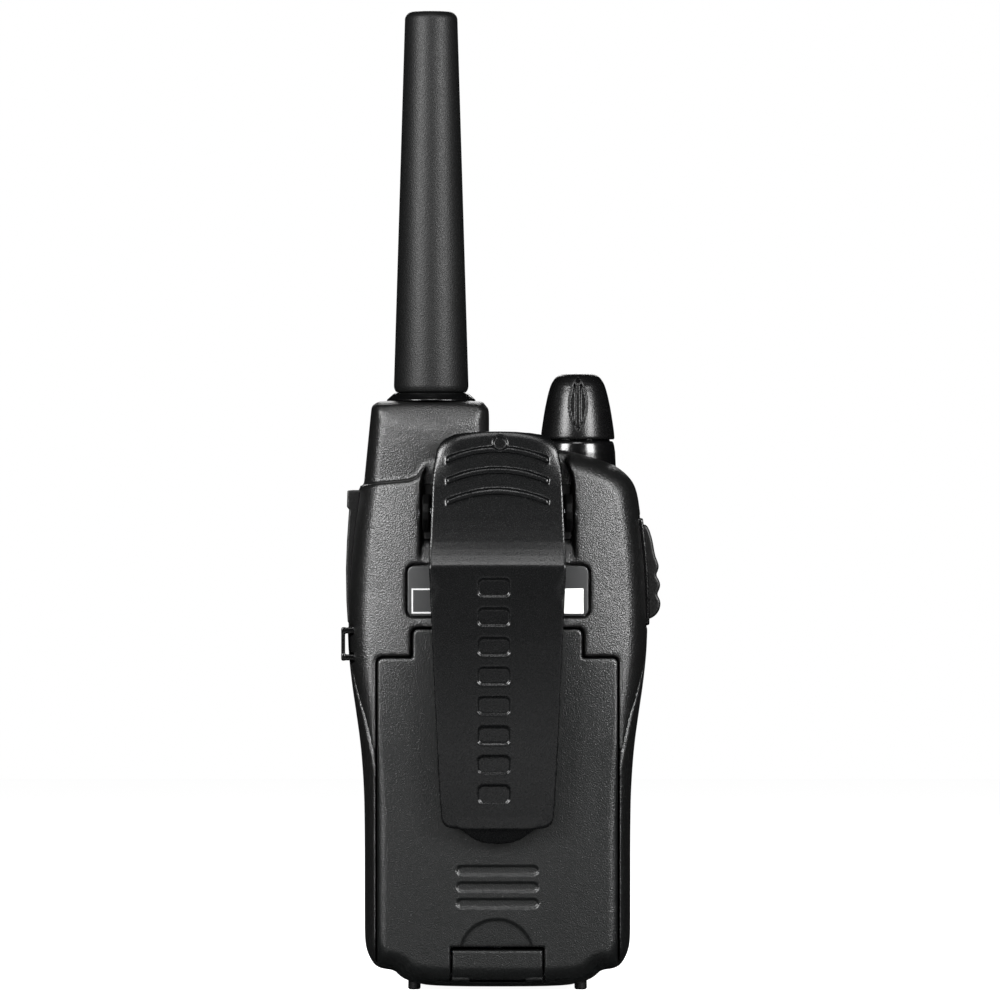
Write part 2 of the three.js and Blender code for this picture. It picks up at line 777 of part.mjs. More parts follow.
function speakerTurned(profile) {
  const points = profile.map(([radius, y]) => new THREE.Vector2(radius, y));
  return toSolid(new THREE.LatheGeometry(points, 28).translate(0, 0, speakerZ));
}

function speakerFrame() {
  const front = frontInner + gap;
  return speakerTurned([
    [speakerRadius - 1.6, front], [speakerRadius, front], [speakerRadius, front + 1.4],
    [speakerRadius - 2.5, front + 4.4], [6, front + 4.4], [6, front + 3.6],
    [speakerRadius - 3, front + 3.6], [speakerRadius - 1.6, front + 1.2],
    [speakerRadius - 1.6, front],
  ]);
}

function speakerCone() {
  const front = frontInner + gap + 0.4;
  return speakerTurned([
    [0, front + 1.2], [4, front + 1.6], [4.4, front + 1.8], [speakerRadius - 2, front],
    [speakerRadius - 2, front + 0.4], [4.6, front + 2.4], [3.8, front + 2.2], [0, front + 1.8],
  ]);
}

function speakerMagnet() {
  const front = frontInner + gap + 4.7;
  return speakerTurned([[0, front], [10, front], [10, tubFloorFront - 1], [0, tubFloorFront - 1]]);
}

function microphone() {
  return rodY(3, [18, 50], frontInner + gap, frontInner + gap + 2.6, 24);
}

// ---------------------------------------------------------------- batteries and fixings

function batteryCell(x) {
  return turned([
    [0, cellBottom], [cellRadius, cellBottom], [cellRadius, cellTop], [2.7, cellTop],
    [2.7, cellTop + 1], [0, cellTop + 1],
  ], [x, cellY], 32);
}

function batterySpring(x) {
  const bottom = tubBottom + tubWall + gap + 0.5;
  const top = cellBottom - gap - 0.5;
  const path = springPath(3, 12, (share, angle) => {
    const radius = 4.6 - 1.4 * share;
    return new THREE.Vector3(
      x + radius * Math.cos(angle),
      cellY + radius * Math.sin(angle),
      bottom + (top - bottom) * share,
    );
  });
  return wire(path, 0.4, 27);
}

function batteryContact() {
  const half = cellPitch + cellRadius - 1;
  return box([-half, half], [cellY - 4, cellY + 4], [cellTop + 1.3, tubTop - gap]);
}

function caseScrew([x, z]) {
  const head = rodY(2, [x, z], tubFloorBack + gap, tubFloorBack + gap + 1.2, 20);
  const slot = box([x - 1.6, x + 1.6], [tubFloorBack + gap + 0.7, 5], [z - 0.3, z + 0.3]);
  const shank = rodY(screwRadius, [x, z], frontInner + 3, tubFloorBack + gap + 0.2, 12);
  return head.subtract(slot).add(shank);
}

function foot([x, y]) {
  return turned([
    [0, 0], [footRadius - 0.25, 0], [footRadius, 0.3], [footRadius, 2], [0, 2],
  ], [x, y], 16);
}

// ---------------------------------------------------------------- belt clip

function clipBand(outward, inward) {
  const outer = clipFace.map(([y, z]) => [y + outward, z]);
  const inner = clipFace.map(([y, z]) => [y - inward, z]).reverse();
  return slabX([...outer, ...inner], -clipHalf - 1, clipHalf + 1);
}

function clipOutline() {
  const top = clipHalf * 0.934;
  const foot = clipHalf * 0.838;
  return [
    [-foot + 2.6, 32.6], [foot - 2.6, 32.6], [foot - 0.8, 33.4], [foot, 35.2],
    [clipHalf - 0.05, 83.6], [clipHalf, 85.2], [top, 107.2], [top - 0.2, 108.4], [top - 0.8, 109.5],
    [top - 1.7, 110.3], [top - 3.7, 111.2], [top - 7.6, 112.0], [0, 112.3], [-top + 7.6, 112.0],
    [-top + 3.7, 111.2], [-top + 1.7, 110.3], [-top + 0.8, 109.5], [-top + 0.2, 108.4],
    [-top, 107.2], [-clipHalf, 85.2], [-clipHalf + 0.05, 83.6], [-foot, 35.2], [-foot + 0.8, 33.4],
  ];
}

function clipRib(middle, drop) {
  const reach = clipHalf * 0.745;
  const points = [];
  for (const [sign, height] of [[1, 0.6], [-1, -0.6]]) {
    for (let i = 0; i <= 8; i += 1) {
      const share = sign * (i / 4 - 1);
      points.push([reach * -share, middle - drop * share * share + height]);
    }
  }
  return slabY(points, 5, 25).intersect(clipBand(0.45, 0.5));
}

function clipLever() {
  let solid = clipBand(0, clipThickness).intersect(slabY(clipOutline(), 0, 30));
  for (const [middle, drop] of [[108.4, 2.2], [104.2, 2.2], [100.0, 2.2]]) {
    solid = solid.add(clipRib(middle, drop));
  }
  const hookHalf = clipHalf * 0.547;
  solid = solid.add(slabX([
    [16.2, 34.6], [16.3, 32.8], [15.2, 29.6], [13.6, 29.4], [12.9, 30.2], [12.9, 31.6],
    [14.0, 33.0], [14.6, 35.0],
  ], -hookHalf, hookHalf));
  solid = solid.add(mirrored((side) => {
    const ends = spanX(side, 6, 9);
    const knuckle = rodX(2, [clipPinY, clipPinZ], ...ends);
    const web = box(ends, [clipPinY, clipPinY + 2.9], [clipPinZ - 2, clipPinZ + 2]);
    return knuckle.add(web);
  }));
  solid = solid.subtract(rodX(clipPinRadius + gap, [clipPinY, clipPinZ], -12, 12, 16));
  solid = solid.subtract(rodY(1.4, [-0.5, 109.6], 12.6, 20, 16));
  for (let i = 0; i < 8; i += 1) {
    const mark = slabY(roundedRect([0.7, 39.6 + 5.9 * i], 6.2, 3.4, 0.9, 2), 5, 30);
    const depth = clipBand(1, 0.35);
    solid = solid.subtract(mark.intersect(depth));
  }
  return solid;
}

function clipBracket() {
  const floor = [[9.4, 90.5], [8.0, 95], [6.9, 103], [6.85, 103.5]];
  const low = floor.map(([y, z]) => [y + gap, z]);
  const high = floor.map(([y, z]) => [y + gap + 1.3, z]).reverse();
  const base = slabX([...low, ...high], -earOuter, earOuter);
  const ears = mirrored((side) => slabX([
    [9.6, 92], [8.9, 95], [8.2, 99.4], [10.5, 99.4], [clipPinY + 1.9, clipPinZ + 1.6],
    [clipPinY + 2.4, clipPinZ], [clipPinY + 1.9, clipPinZ - 1.6], [10.8, 92],
  ], ...spanX(side, earInner, earOuter)));
  const holes = rodX(clipPinRadius + gap, [clipPinY, clipPinZ], -earOuter - 1, earOuter + 1, 16);
  return base.add(ears).subtract(holes);
}

function clipHingePin() {
  return rodX(clipPinRadius, [clipPinY, clipPinZ], -earOuter + 0.1, earOuter - 0.1, 16);
}

function clipTorsionSpring() {
  const path = springPath(5, 12, (share, angle) => new THREE.Vector3(
    -4 + 8 * share,
    clipPinY + 1.34 * Math.cos(angle),
    clipPinZ + 1.34 * Math.sin(angle),
  ));
  return wire(path, 0.28, 40);
}

// ---------------------------------------------------------------- materials and assembly

const finishes = {
  casingPlastic: { color: 0x1b1c1d, roughness: 0.55, metalness: 0 },
  clipPlastic: { color: 0x222325, roughness: 0.42, metalness: 0 },
  glossPlastic: { color: 0x131415, roughness: 0.25, metalness: 0 },
  rubber: { color: 0x202122, roughness: 0.8, metalness: 0 },
  label: { color: 0x8a8f92, roughness: 0.5, metalness: 0 },
  lens: { color: 0x2c3a33, roughness: 0.08, metalness: 0 },
  keyRubber: { color: 0x4a4d50, roughness: 0.6, metalness: 0 },
  steel: { color: 0xb8bbc0, roughness: 0.3, metalness: 1 },
  board: { color: 0x1d5a34, roughness: 0.5, metalness: 0 },
  paper: { color: 0x3a3530, roughness: 0.9, metalness: 0 },
  cellWrap: { color: 0x2b5f9c, roughness: 0.35, metalness: 0 },
  magnet: { color: 0x55585c, roughness: 0.5, metalness: 1 },
};

const root = new THREE.Group();
root.name = 'walkie_talkie';

function place(name, finish, solid) {
  const material = new THREE.MeshStandardMaterial(finishes[finish]);
  const mesh = new THREE.Mesh(toGeometry(solid), material);
  mesh.name = name;
  root.add(mesh);
}

place('front_casing', 'casingPlastic', frontCasing());
place('rear_casing', 'casingPlastic', rearCasing());
place('label_plate', 'label', labelPlate());

place('battery_cover', 'casingPlastic', batteryCover());
place('battery_latch', 'casingPlastic', batteryLatch());
place('battery_latch_pin', 'steel', latchPin());

place('antenna_sleeve', 'rubber', antennaSleeve());
place('antenna_collar', 'casingPlastic', antennaCollar());
place('antenna_core', 'steel', antennaCore());

place('volume_knob', 'glossPlastic', volumeKnob());
place('volume_shaft', 'steel', volumeShaft());
place('volume_potentiometer', 'steel', volumePotentiometer());
place('knob_base_ring', 'glossPlastic', knobBaseRing());

place('ptt_frame', 'casingPlastic', pttFrame());
place('ptt_button', 'rubber', pttButton());
place('ptt_switch', 'glossPlastic', pttSwitch());

place('jack_cover', 'rubber', jackCover());
for (const jack of jacks) {
  place(jack.name, 'glossPlastic', jackBarrel(jack));
}
place('lanyard_loop', 'glossPlastic', lanyardLoop());

place('display_bezel', 'glossPlastic', displayBezel());
place('display_lens', 'lens', displayLens());
place('display_module', 'glossPlastic', displayModule());
keyRows.forEach((z, row) => {
  keyColumns.forEach((x, column) => {
    place(`key_${row * keyColumns.length + column + 1}`, 'keyRubber', keyCap(x, z));
  });
});
place('keypad_membrane', 'rubber', keypadMembrane());
place('main_board', 'board', mainBoard());
place('shield_can', 'steel', shieldCan());

place('speaker_frame', 'steel', speakerFrame());
place('speaker_cone', 'paper', speakerCone());
place('speaker_magnet', 'magnet', speakerMagnet());
place('microphone', 'steel', microphone());

[-cellPitch, 0, cellPitch].forEach((x, i) => {
  place(`battery_cell_${i + 1}`, 'cellWrap', batteryCell(x));
  place(`battery_spring_${i + 1}`, 'steel', batterySpring(x));
});
place('battery_contact', 'steel', batteryContact());
screwPlaces().forEach((spot, i) => {
  place(`case_screw_${i + 1}`, 'steel', caseScrew(spot));
});
footPlaces().forEach((spot, i) => {
  place(`foot_${i + 1}`, 'rubber', foot(spot));
});

place('clip_lever', 'clipPlastic', clipLever());
place('clip_bracket', 'casingPlastic', clipBracket());
place('clip_hinge_pin', 'steel', clipHingePin());
place('clip_torsion_spring', 'steel', clipTorsionSpring());

export default root;
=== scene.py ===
"""Looks of the hand-held two-way radio: its casing, clip and controls, meshed finely around the frame."""

import math

import bmesh
import bpy
import numpy as np
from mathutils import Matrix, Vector


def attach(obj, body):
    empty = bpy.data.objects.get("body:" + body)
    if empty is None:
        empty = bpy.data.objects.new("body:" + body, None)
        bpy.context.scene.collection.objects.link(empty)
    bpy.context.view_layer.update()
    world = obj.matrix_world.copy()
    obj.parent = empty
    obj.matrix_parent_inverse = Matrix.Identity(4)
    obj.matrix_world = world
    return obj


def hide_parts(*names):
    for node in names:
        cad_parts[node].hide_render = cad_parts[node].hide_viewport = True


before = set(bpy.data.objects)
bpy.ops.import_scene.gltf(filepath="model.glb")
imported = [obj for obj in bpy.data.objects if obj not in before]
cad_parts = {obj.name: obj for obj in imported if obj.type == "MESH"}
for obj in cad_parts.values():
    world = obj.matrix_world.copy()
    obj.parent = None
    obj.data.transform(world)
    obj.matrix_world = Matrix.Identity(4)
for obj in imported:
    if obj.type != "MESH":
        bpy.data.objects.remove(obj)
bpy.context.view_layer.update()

MM = 0.001

# ---------------------------------------------------------------- sizes in millimetres

BACK, FRONT = 12.4, -18.4
HALF_WIDTH = 30.25
WALL = 2.2
GAP = 0.3
EDGE_ROUND = 4.5
TOP_AXIS_Y = -4.5
ANTENNA_X, KNOB_X = 13.4, -16.2
TOWER_TOP, TOWER_BACK, TOWER_ROUND = 118.1, 6.5, 2.9
COVER_HALF, COVER_TOP, TAB_TOP = 24.08, 66.7, 72.5
COVER_TAB_HALF = 17.0
COVER_THICKNESS = 1.8
LABEL_CENTRE, LABEL_WIDTH, LABEL_HEIGHT = (-0.1, 80.1), 36.2, 10.0
TRENCH_HALF = 15.15
CLIP_HALF, CLIP_THICKNESS = 13.7, 2.1
CLIP_PIN, PIN_HOLE = (12.0, 96.0), 1.0
RIB_HEIGHTS, RIB_HALF, RIB_SAG = (108.4, 104.2, 100.0), 10.2, 2.2
MARK_COUNT, MARK_LOW, MARK_PITCH, MARK_DEPTH = 8, 39.6, 5.9, 0.35
LATCH_HALF, LATCH_TOP = 9.1, 8.3
LATCH_PIN = (9.3, 3.0)
GROOVE_LOW, GROOVE_PITCH, GROOVE_DEPTH = 17.6, 3.3, 0.35
SCREWS = [(x, z) for x in (7.3, -7.3) for z in (10.5, 50)]
FEET = [(x, y) for x in (16.7, -16.7) for y in (4.4, -12.4)]
SPEAKER_Z, SLOT_PITCH, SPEAKER_RADIUS = 29.0, 4, 15.5
KEY_COLUMNS, KEY_ROWS = (-14, 0, 14), (69.5, 59.5)
KEY_WIDTH, KEY_HEIGHT = 11.0, 6.4
BEZEL_Z, BEZEL_WIDTH, BEZEL_HEIGHT = 89.0, 38.0, 24.0

# (height, share of HALF_WIDTH) up the side of the body
SIDE_STATIONS = np.array([
    (4.8, 0.816), (6.2, 0.848), (8.0, 0.872), (10, 0.882), (14, 0.883), (35, 0.883),
    (42, 0.891), (49, 0.909), (55.4, 0.939), (62, 0.972), (68, 0.993), (73, 0.999), (78, 1.0),
    (84, 0.992), (89, 0.978), (95, 0.954), (100.4, 0.929)])
# (y, z) down the middle: the seam between the halves, the floor of the recess behind the clip,
# and the outer face of the clip
SEAM = [(12.9, 33), (12.0, 37), (11.1, 46), (9.0, 55.4), (6.0, 62), (2.0, 68), (0, 72), (0, 130)]
TRENCH_FLOOR = [(13.4, 85.4), (12.4, 86), (9.4, 90.5), (8.0, 95), (6.9, 103), (6.5, 108), (6.5, 125)]
CLIP_FACE = [
    (12.6, 112.3), (13.37, 108), (14.17, 104), (15.0, 100), (15.68, 97), (16.42, 94), (16.97, 92),
    (17.57, 90), (18.08, 88.5), (18.57, 87.2), (19.07, 86), (19.4, 85.3), (19.52, 84.8),
    (18.9, 70), (17.8, 50), (16.6, 34), (16.4, 31)]


# ---------------------------------------------------------------- distance fields

class Grid:
    """Sample points on a regular grid, as three arrays that broadcast against each other."""

    def __init__(self, low, high, step):
        self.step = step
        axes = [np.arange(lo - 2 * step, hi + 3 * step, step, dtype=np.float32)
                for lo, hi in zip(low, high)]
        self.origin = np.array([axis[0] for axis in axes])
        self.x = axes[0][:, None, None]
        self.y = axes[1][None, :, None]
        self.z = axes[2][None, None, :]


def polygon(points, u, v):
    """Signed distance to a closed outline in the (u, v) plane, negative inside."""
    nearest, inside = None, False
    for (ax, ay), (bx, by) in zip(points, list(points[1:]) + [points[0]]):
        ex, ey = bx - ax, by - ay
        wx, wy = u - ax, v - ay
        share = np.clip((wx * ex + wy * ey) / max(ex * ex + ey * ey, 1e-9), 0, 1)
        squared = (wx - ex * share) ** 2 + (wy - ey * share) ** 2
        nearest = squared if nearest is None else np.minimum(nearest, squared)
        if abs(ey) > 1e-9:
            crossing = ((ay > v) != (by > v)) & (u < ex * (v - ay) / ey + ax)
            inside = crossing ^ inside
    return np.where(inside, -1, 1).astype(np.float32) * np.sqrt(nearest)


def prism(flat, along, low, high, rounding=0.0):
    """An outline's distance pushed along one axis, with its end edges rounded."""
    across = flat + rounding
    lengthwise = np.abs(along - (low + high) / 2) - (high - low) / 2 + rounding
    outside = np.sqrt(np.maximum(across, 0) ** 2 + np.maximum(lengthwise, 0) ** 2)
    return np.minimum(np.maximum(across, lengthwise), 0) + outside - rounding


def block(g, x, y, z, rounding=0.0):
    """A box given as three (low, high) pairs."""
    parts = []
    for coordinate, (low, high) in ((g.x, x), (g.y, y), (g.z, z)):
        parts.append(np.abs(coordinate - (low + high) / 2) - (high - low) / 2 + rounding)
    outside = np.sqrt(sum(np.maximum(part, 0) ** 2 for part in parts))
    return np.minimum(np.maximum(np.maximum(parts[0], parts[1]), parts[2]), 0) + outside - rounding


def round_rect(u, v, centre, width, height, radius):
    """Signed distance to a rounded rectangle in the (u, v) plane."""
    a = np.abs(u - centre[0]) - width / 2 + radius
    b = np.abs(v - centre[1]) - height / 2 + radius
    return np.minimum(np.maximum(a, b), 0) + np.hypot(np.maximum(a, 0), np.maximum(b, 0)) - radius


def circle(u, v, centre, radius):
    return np.hypot(u - centre[0], v - centre[1]) - radius


def join(a, b, blend=0.0):
    if np.ndim(blend) == 0 and blend == 0:
        return np.minimum(a, b)
    overlap = np.maximum(blend - np.abs(a - b), 0) / blend
    return np.minimum(a, b) - overlap * overlap * blend / 4


def meet(a, b, blend=0.0):
    return -join(-a, -b, blend)


def cut(a, b, blend=0.0):
    return meet(a, -b, blend)


def softened(points, rounds=2, share=0.25):
    """The outline with its corners cut again and again until they read as curves."""
    for _ in range(rounds):
        fresh = []
        for (ax, ay), (bx, by) in zip(points, list(points[1:]) + [points[0]]):
            fresh.append((ax + (bx - ax) * share, ay + (by - ay) * share))
            fresh.append((bx - (bx - ax) * share, by - (by - ay) * share))
        points = fresh
    return points


def side_at(z):
    return HALF_WIDTH * np.interp(z, SIDE_STATIONS[:, 0], SIDE_STATIONS[:, 1])


# ---------------------------------------------------------------- from field to mesh

CORNERS = np.array([(i, j, k) for i in (0, 1) for j in (0, 1) for k in (0, 1)])
EDGES = [(a, b) for a in range(8) for b in range(a + 1, 8)
         if np.abs(CORNERS[a] - CORNERS[b]).sum() == 1]


def surface(field, g):
    """Vertices and outward quads of the field's zero surface, one vertex in each crossed cell."""
    inside = field < 0
    cells = tuple(n - 1 for n in field.shape)
    windows = [tuple(slice(c, c + n) for c, n in zip(corner, cells)) for corner in CORNERS]
    count = np.zeros(cells, np.int8)
    for window in windows:
        count += inside[window]
    crossed = (count > 0) & (count < 8)
    index = np.full(cells, -1, np.int32)
    index[crossed] = np.arange(crossed.sum())
    where = np.argwhere(crossed)
    values = np.stack([field[window][crossed] for window in windows], axis=1)
    total = np.zeros((len(where), 3))
    hits = np.zeros(len(where))
    for a, b in EDGES:
        change = (values[:, a] < 0) != (values[:, b] < 0)
        share = values[change, a] / (values[change, a] - values[change, b])
        total[change] += CORNERS[a] + share[:, None] * (CORNERS[b] - CORNERS[a])
        hits[change] += 1
    vertices = g.origin + g.step * (where + total / hits[:, None])
    quads = []
    for axis in range(3):
        one, two = (axis + 1) % 3, (axis + 2) % 3
        near = [slice(1, -1)] * 3
        near[axis] = slice(0, -1)
        far = list(near)
        far[axis] = slice(1, None)
        first, second = inside[tuple(near)], inside[tuple(far)]
        for start, flip in ((first & ~second, False), (~first & second, True)):
            spots = np.argwhere(start)
            spots[:, one] += 1
            spots[:, two] += 1
            ring = []
            for da, db in ((-1, -1), (0, -1), (0, 0), (-1, 0)):
                cell = spots.copy()
                cell[:, one] += da
                cell[:, two] += db
                ring.append(index[tuple(cell.T)])
            if flip:
                ring.reverse()
            quads.append(np.stack(ring, axis=1))
    return vertices * MM, np.concatenate(quads)


def make_object(name, vertices, faces, smooth=True):
    mesh = bpy.data.meshes.new(name)
    mesh.vertices.add(len(vertices))
    mesh.vertices.foreach_set("co", np.asarray(vertices, np.float32).ravel())
    sizes = len(faces[0])
    mesh.loops.add(len(faces) * sizes)
    mesh.loops.foreach_set("vertex_index", np.asarray(faces, np.int32).ravel())
    mesh.polygons.add(len(faces))
    mesh.polygons.foreach_set("loop_start", np.arange(0, len(faces) * sizes, sizes, dtype=np.int32))
    mesh.polygons.foreach_set("use_smooth", np.full(len(faces), smooth))
    mesh.update(calc_edges=True)
    mesh.validate()
    piece = bpy.data.objects.new(name, mesh)
    bpy.context.scene.collection.objects.link(piece)
    return piece


def thinned(piece, faces):
    """Collapses the piece's flattest places until it has about that many triangles."""
    have = 2 * len(piece.data.polygons)
    if have > faces:
        step = piece.modifiers.new("thin", "DECIMATE")
        step.ratio = faces / have
        evaluated = piece.evaluated_get(bpy.context.evaluated_depsgraph_get())
        fresh = bpy.data.meshes.new_from_object(evaluated)
        piece.modifiers.clear()
        piece.data = fresh
        fresh.shade_smooth()
    return piece


def solid(name, low, high, step, build, body, material, *nodes, faces=120_000):
    """Meshes the field that build(grid) returns and puts the piece in the place of CAD nodes."""
    g = Grid(low, high, step)
    vertices, quads = surface(np.broadcast_to(build(g), (g.x.size, g.y.size, g.z.size)), g)
    piece = thinned(make_object(name, vertices, quads), faces)
    return dress(piece, body, material, *nodes)


def dress(piece, body, material, *nodes):
    finish, slot = material
    piece.data.materials.clear()
    piece.data.materials.append(finish)
    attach(piece, body)
    if nodes:
        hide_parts(*nodes)
    return piece


# ---------------------------------------------------------------- materials

def new_material(name):
    material = bpy.data.materials.new(name)
    material.use_nodes = True
    nodes, links = material.node_tree.nodes, material.node_tree.links
    shader = nodes["Principled BSDF"]
    place = nodes.new("ShaderNodeTexCoord").outputs["Object"]
    return material, nodes, links, shader, place


def noise(nodes, links, place, scale, detail=3.0, rough=0.55):
    texture = nodes.new("ShaderNodeTexNoise")
    texture.inputs["Scale"].default_value = scale
    texture.inputs["Detail"].default_value = detail
    texture.inputs["Roughness"].default_value = rough
    links.new(place, texture.inputs["Vector"])
    return texture.outputs["Fac"]


def ramp(nodes, links, value, low, high, low_at=0.3, high_at=0.7):
    """Maps a value to a colour between two colours or two grey levels."""
    node = nodes.new("ShaderNodeValToRGB")
    for element, at, level in zip(node.color_ramp.elements, (low_at, high_at), (low, high)):
        element.position = at
        element.color = (*level, 1) if isinstance(level, tuple) else (level, level, level, 1)
    links.new(value, node.inputs["Fac"])
    return node.outputs["Color"]


def bump(nodes, links, height, distance, strength=1.0, under=None):
    node = nodes.new("ShaderNodeBump")
    node.inputs["Distance"].default_value = distance
    node.inputs["Strength"].default_value = strength
    links.new(height, node.inputs["Height"])
    if under:
        links.new(under, node.inputs["Normal"])
    return node.outputs["Normal"]


def moulded(name, dark, light, roughness, grain, depth, specular=0.5):
    """Moulded plastic or rubber: a pebbled grain, faint colour drift and roughness that varies."""
    material, nodes, links, shader, place = new_material(name)
    drift = noise(nodes, links, place, 60, 4)
    fine = noise(nodes, links, place, 1 / (grain * MM), 1.0, 0.5)
    links.new(ramp(nodes, links, drift, dark, light), shader.inputs["Base Color"])
    low, high = roughness
    links.new(ramp(nodes, links, fine, high, low, 0.35, 0.68), shader.inputs["Roughness"])
    shader.inputs["Specular IOR Level"].default_value = specular
    links.new(bump(nodes, links, fine, depth * MM), shader.inputs["Normal"])
    return material


def metal(name, colour, roughness):
    material, nodes, links, shader, place = new_material(name)
    streak = noise(nodes, links, place, 900, 3)
    links.new(ramp(nodes, links, streak, tuple(0.8 * c for c in colour), colour),
              shader.inputs["Base Color"])
    links.new(ramp(nodes, links, streak, roughness * 0.7, roughness * 1.3),
              shader.inputs["Roughness"])
    links.new(bump(nodes, links, streak, 0.01 * MM), shader.inputs["Normal"])
    shader.inputs["Metallic"].default_value = 1.0
    return material


def label_material():
    """Grey film with one plain white panel and one plain outlined panel, and no writing."""
    material, nodes, links, shader, place = new_material("label_film")
    split = nodes.new("ShaderNodeSeparateXYZ")
    links.new(place, split.inputs["Vector"])

    def between(socket, low, high):
        above = nodes.new("ShaderNodeMath")
        above.operation = "GREATER_THAN"
        above.inputs[1].default_value = low * MM
        below = nodes.new("ShaderNodeMath")
        below.operation = "LESS_THAN"
        below.inputs[1].default_value = high * MM
        both = nodes.new("ShaderNodeMath")
        both.operation = "MULTIPLY"
        links.new(socket, above.inputs[0])
        links.new(socket, below.inputs[0])
        links.new(above.outputs[0], both.inputs[0])
        links.new(below.outputs[0], both.inputs[1])
        return both.outputs[0]

    def panel(x, z):
        both = nodes.new("ShaderNodeMath")
        both.operation = "MULTIPLY"
        links.new(between(split.outputs["X"], *x), both.inputs[0])
        links.new(between(split.outputs["Z"], *z), both.inputs[1])
        return both.outputs[0]

    def layer(under, mask, colour):
        mix = nodes.new("ShaderNodeMix")
        mix.data_type = "RGBA"
        links.new(mask, mix.inputs[0])
        links.new(under, mix.inputs[6])
        mix.inputs[7].default_value = (*colour, 1)
        return mix.outputs[2]

    speckle = noise(nodes, links, place, 400)
    film = ramp(nodes, links, speckle, (0.016, 0.0165, 0.017), (0.020, 0.0205, 0.021))
    colour = layer(film, panel((-17.2, -6.0), (75.6, 80.6)), (0.85, 0.85, 0.84))
    colour = layer(colour, panel((8.0, 17.2), (75.6, 80.6)), (0.45, 0.45, 0.45))
    colour = layer(colour, panel((8.3, 16.9), (75.9, 80.3)), (0.018, 0.0185, 0.019))
    links.new(colour, shader.inputs["Base Color"])
    shader.inputs["Roughness"].default_value = 0.4
    return material


LABEL = (label_material(), "label_film")
GRAINED = (moulded("grained_plastic", (0.0020, 0.0021, 0.0021), (0.0029, 0.0030, 0.0030),
                   (0.32, 0.42), 0.235, 0.115, 0.8), "casing_plastic")
COVER = (moulded("cover_plastic", (0.0022, 0.0025, 0.0025), (0.0031, 0.0034, 0.0034),
                 (0.28, 0.38), 0.235, 0.075, 0.56), "casing_plastic")
SATIN = (moulded("satin_plastic", (0.0014, 0.0015, 0.0016), (0.0020, 0.0021, 0.0022),
                 (0.22, 0.28), 0.19, 0.022, 0.38), "clip_plastic")
KNOB = (moulded("knob_plastic", (0.0018, 0.0018, 0.0019), (0.0025, 0.0025, 0.0026),
                (0.24, 0.30), 0.24, 0.035, 0.3), "gloss_plastic")
SMOOTH = (moulded("smooth_plastic", (0.0015, 0.0015, 0.0015), (0.0022, 0.0022, 0.0024),
                  (0.16, 0.22), 0.35, 0.012), "gloss_plastic")
RUBBER = (moulded("soft_rubber", (0.0020, 0.0020, 0.0020), (0.0030, 0.0030, 0.0030),
                  (0.34, 0.46), 0.35, 0.030, 0.3), "soft_rubber")
ANTENNA = (moulded("antenna_rubber", (0.0022, 0.0023, 0.0024), (0.0031, 0.0032, 0.0032),
                   (0.42, 0.54), 0.25, 0.065, 0.29), "antenna_rubber")
# Near-black plastic for the clip's seat, darker than the casing: painted shade, so the bracket's ears
# read as dark as the shadowed trench they sit in.
SHADED_SEAT_PLASTIC = (moulded("painted_shade_plastic", (0.0009, 0.0009, 0.0009), (0.0012, 0.0012, 0.0013),
                  (0.55, 0.70), 0.25, 0.010, 0.1), "casing_plastic")
KEYS = (moulded("key_rubber", (0.055, 0.058, 0.062), (0.070, 0.073, 0.078),
                (0.50, 0.62), 0.30, 0.012, 0.4), "key_rubber")
STEEL = (metal("plated_steel", (0.62, 0.63, 0.65), 0.25), "plated_steel")


# ---------------------------------------------------------------- casing

def body_outline():
    right = [(HALF_WIDTH * share, z) for z, share in SIDE_STATIONS]
    left = [(-x, z) for x, z in reversed(right)]
    half = [(0, 0.5), (9, 0.55), (14.5, 0.8), (17.8, 1.5), (19.8, 2.7), (20.7, 3.8), (23.4, 4.1)]
    bottom = [(-x, z) for x, z in reversed(half[1:])] + half
    shoulders = [(27.6, 104.0), (26.8, 107.6), (24.0, 109.3), (1, 109.3), (-13.4, 108.6),
                 (-19, 107.2), (-23.9, 105.2), (-26.6, 103.0)]
    return softened(bottom + right + shoulders + left, 2)


def above_shoulder():
    """The S-shaped upper end of the raised back, beside the antenna tower."""
    return softened([(40, 100.9), (29, 101.0), (23, 101.9), (17.4, 102.3), (16.0, 103.1), (15.2, 104.3),
                     (14.5, 105.6), (12.5, 106.3), (8, 107), (8, 130), (40, 130)], 2)


def tower_outline():
    left, right, top = ANTENNA_X - 11.7, ANTENNA_X + 11.7, TOWER_TOP + 0.15
    return softened([(left, 90), (right + 2.6, 90), (right + 1.9, 101), (right + 0.2, top),
                     (left, top)], 3, 0.06)


BODY_OUTLINE, TOWER_OUTLINE, ABOVE_SHOULDER = body_outline(), tower_outline(), above_shoulder()


def body_crown(g):
    """How far the back drops away from flat, sideways and towards the top."""
    sideways = np.interp(g.z, [50, 80], [0.0026, 0.0095]) * np.maximum(np.abs(g.x) - 10.5, 0) ** 2
    return sideways + 0.0011 * np.maximum(g.z - 68, 0) ** 2


def body_field(g):
    """The body with its back corners rounded over twice as far in depth as in width."""
    flat = polygon(BODY_OUTLINE, g.x, g.z)
    across = flat + EDGE_ROUND
    behind = (g.y + body_crown(g) - BACK) / 2
    lengthwise = np.maximum(behind, FRONT - g.y) + EDGE_ROUND
    outside = np.sqrt(np.maximum(across, 0) ** 2 + np.maximum(lengthwise, 0) ** 2)
    field = np.minimum(np.maximum(across, lengthwise), 0) + outside - EDGE_ROUND
    return cut(field, polygon(ABOVE_SHOULDER, g.x, g.z), 0.9)


def inner_body(g, inset):
    """The body's plain shape moved inwards, for the hollow and the back of the cover."""
    flat = polygon(BODY_OUTLINE, g.x, g.z)
    lowered = g.y + body_crown(g) * (g.y > 0)
    return prism(flat, lowered, FRONT, BACK, EDGE_ROUND) + inset


